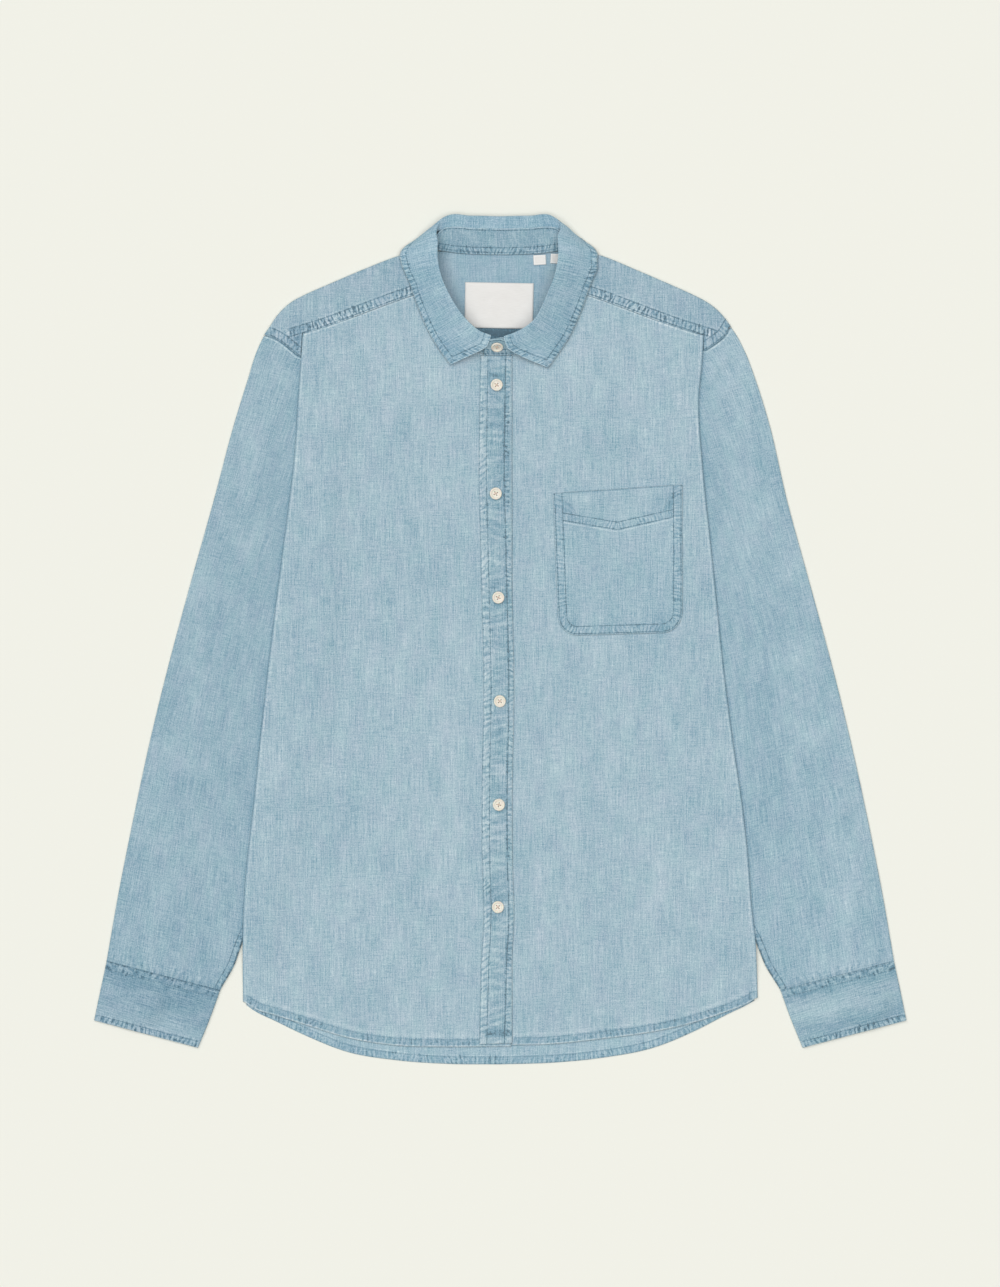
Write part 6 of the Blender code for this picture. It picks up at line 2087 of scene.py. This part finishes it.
def stitch_tree(material):
    """Threads laid end to end along each path, turned to face its "up"."""
    tree = bpy.data.node_groups.new("stitch_rows", "GeometryNodeTree")
    face = tree.interface
    face.new_socket("Geometry", in_out="INPUT", socket_type="NodeSocketGeometry")
    for name in ("Pitch", "Length", "Thickness"):
        face.new_socket(name, in_out="INPUT", socket_type="NodeSocketFloat")
    face.new_socket("Geometry", in_out="OUTPUT", socket_type="NodeSocketGeometry")
    source = node(tree, "NodeGroupInput").outputs
    rows = node(tree, "GeometryNodeMeshToCurve", [("Mesh", source["Geometry"])]).outputs["Curve"]
    inputs = [("Curve", rows), ("Length", source["Pitch"])]
    spots = node(tree, "GeometryNodeResampleCurve", inputs, mode="LENGTH").outputs["Curve"]
    shape = node(tree, "GeometryNodeMeshUVSphere", STITCH_ROUND.items())
    up = node(tree, "GeometryNodeInputNamedAttribute", [("Name", "up")], data_type="FLOAT_VECTOR")
    tangent = node(tree, "GeometryNodeInputTangent").outputs[0]
    turned = node(
        tree, "FunctionNodeAxesToRotation", [(0, tangent), (1, up.outputs["Attribute"])],
        primary_axis="X", secondary_axis="Z",
    ).outputs[0]
    wobble = [("Min", -STITCH_WOBBLE), ("Max", STITCH_WOBBLE), ("Seed", STITCH_SEED)]
    wobble = node(tree, "FunctionNodeRandomValue", wobble, data_type="FLOAT").outputs[1]
    spin = node(tree, "ShaderNodeCombineXYZ", [("Z", wobble)]).outputs[0]
    spin = node(tree, "FunctionNodeEulerToRotation", [(0, spin)]).outputs[0]
    turned = node(
        tree, "FunctionNodeRotateRotation", [(0, turned), (1, spin)], rotation_space="LOCAL"
    ).outputs[0]
    size = node(
        tree, "ShaderNodeCombineXYZ",
        [("X", source["Length"]), ("Y", source["Thickness"]), ("Z", source["Thickness"])],
    ).outputs[0]
    inputs = [("Points", spots), ("Instance", shape.outputs["Mesh"]), ("Rotation", turned), ("Scale", size)]
    laid = node(tree, "GeometryNodeInstanceOnPoints", inputs).outputs["Instances"]
    whole = node(tree, "GeometryNodeRealizeInstances", [("Geometry", laid)]).outputs["Geometry"]
    inputs = [("Geometry", whole), ("Material", material)]
    done = node(tree, "GeometryNodeSetMaterial", inputs).outputs["Geometry"]
    node(tree, "NodeGroupOutput", [("Geometry", done)])
    return tree


def make_stitches():
    """All the rows of stitches, as one mesh."""
    points, edges, ups = [], [], []
    for path, up in STITCH_PATHS:
        base = len(points)
        points += (path + up * THREAD_SINK).tolist()
        ups += up.tolist()
        edges += [(base + n, base + n + 1) for n in range(len(path) - 1)]
    mesh = bpy.data.meshes.new("stitch_paths")
    mesh.from_pydata((np.array(points) * MM).tolist(), edges, [])
    up = mesh.attributes.new("up", "FLOAT_VECTOR", "POINT")
    up.data.foreach_set("vector", np.array(ups, np.float32).ravel())
    made = add_object("stitches", mesh)
    laid = made.modifiers.new("stitches", "NODES")
    laid.node_group = stitch_tree(MATERIALS["thread"])
    sizes = {"Pitch": STITCH_PITCH, "Length": STITCH_LENGTH, "Thickness": STITCH_THICK}
    for item in laid.node_group.interface.items_tree:
        if item.name in sizes:
            laid[item.identifier] = sizes[item.name] * MM
    bpy.context.view_layer.update()
    whole = bpy.data.meshes.new_from_object(made.evaluated_get(bpy.context.evaluated_depsgraph_get()))
    made.modifiers.clear()
    made.data = whole
    whole.shade_smooth()
    keep(made, slot="band_chambray")


# ---- The whole shirt -----------------------------------------------------------------------------

make_back()
make_yoke_outer()
make_yoke_inner()
for shirt_side in SIDES:
    make_sleeve(shirt_side)
    make_cuff(shirt_side)
    make_slit_band(shirt_side)
    make_front(shirt_side)
make_placket()
make_pocket()
make_collar_leaf()
stand_rows = make_collar_stand()
make_label("brand_label", -1.0)
make_label("size_label", 3.0, rise=1.5)
make_label("care_label", -3.0, rise=1.5)
add_buttons(stand_rows)
make_stitches()

# ---- Floor, light and camera ---------------------------------------------------------------------

FLOOR_HALF = 30.0
FLOOR_DROP = 0.0002
FLOOR_COLOUR = (0.85, 0.85, 0.775)
VIEW_HEIGHT = 1.1905
VIEW_MIDDLE = Vector((-0.0003, -0.00445, 0.0))
LENS = 140.0
SENSOR = 36.0


def make_floor():
    mesh = bpy.data.meshes.new("floor")
    corners = [(-1, -1), (1, -1), (1, 1), (-1, 1)]
    points = [(x * FLOOR_HALF, y * FLOOR_HALF, -FLOOR_DROP) for x, y in corners]
    mesh.from_pydata(points, [], [(0, 1, 2, 3)])
    material = bpy.data.materials.new("paper_floor")
    material.use_nodes = True
    shader = material.node_tree.nodes["Principled BSDF"]
    shader.inputs["Base Color"].default_value = (*FLOOR_COLOUR, 1.0)
    shader.inputs["Roughness"].default_value = 1.0
    shader.inputs["Specular IOR Level"].default_value = 0.0
    mesh.materials.append(material)
    add_object("floor", mesh)


# The lights: where each comes from, its strength, and how far it spreads.
SUNS = {"window": ((-0.62, 0.55, 0.80), 0.60, 30.0), "ceiling": ((0.0, 0.0, 1.0), 2.02, 75.0)}
SKY_STRENGTH = 0.26


def light_studio():
    """A white sky and two soft lights from far off."""
    world = bpy.data.worlds.new("studio")
    world.use_nodes = True
    sky = world.node_tree.nodes["Background"].inputs
    sky["Color"].default_value = (1.0, 1.0, 1.0, 1.0)
    sky["Strength"].default_value = SKY_STRENGTH
    bpy.context.scene.world = world
    for name, (toward, strength, spread) in SUNS.items():
        light = bpy.data.lights.new(name, "SUN")
        light.energy = strength
        light.angle = math.radians(spread)
        made = add_object(name, light)
        made.rotation_mode = "QUATERNION"
        made.rotation_quaternion = Vector(toward).to_track_quat("Z", "Y")


def aim_camera():
    camera = bpy.data.cameras.new("camera")
    camera.lens = LENS
    camera.sensor_width = SENSOR
    camera.clip_end = 100.0
    made = add_object("camera", camera)
    made.location = VIEW_MIDDLE + Vector((0.0, 0.0, VIEW_HEIGHT * LENS / SENSOR))
    bpy.context.scene.camera = made


make_floor()
light_studio()
aim_camera()
bpy.context.scene.view_settings.view_transform = "Standard"
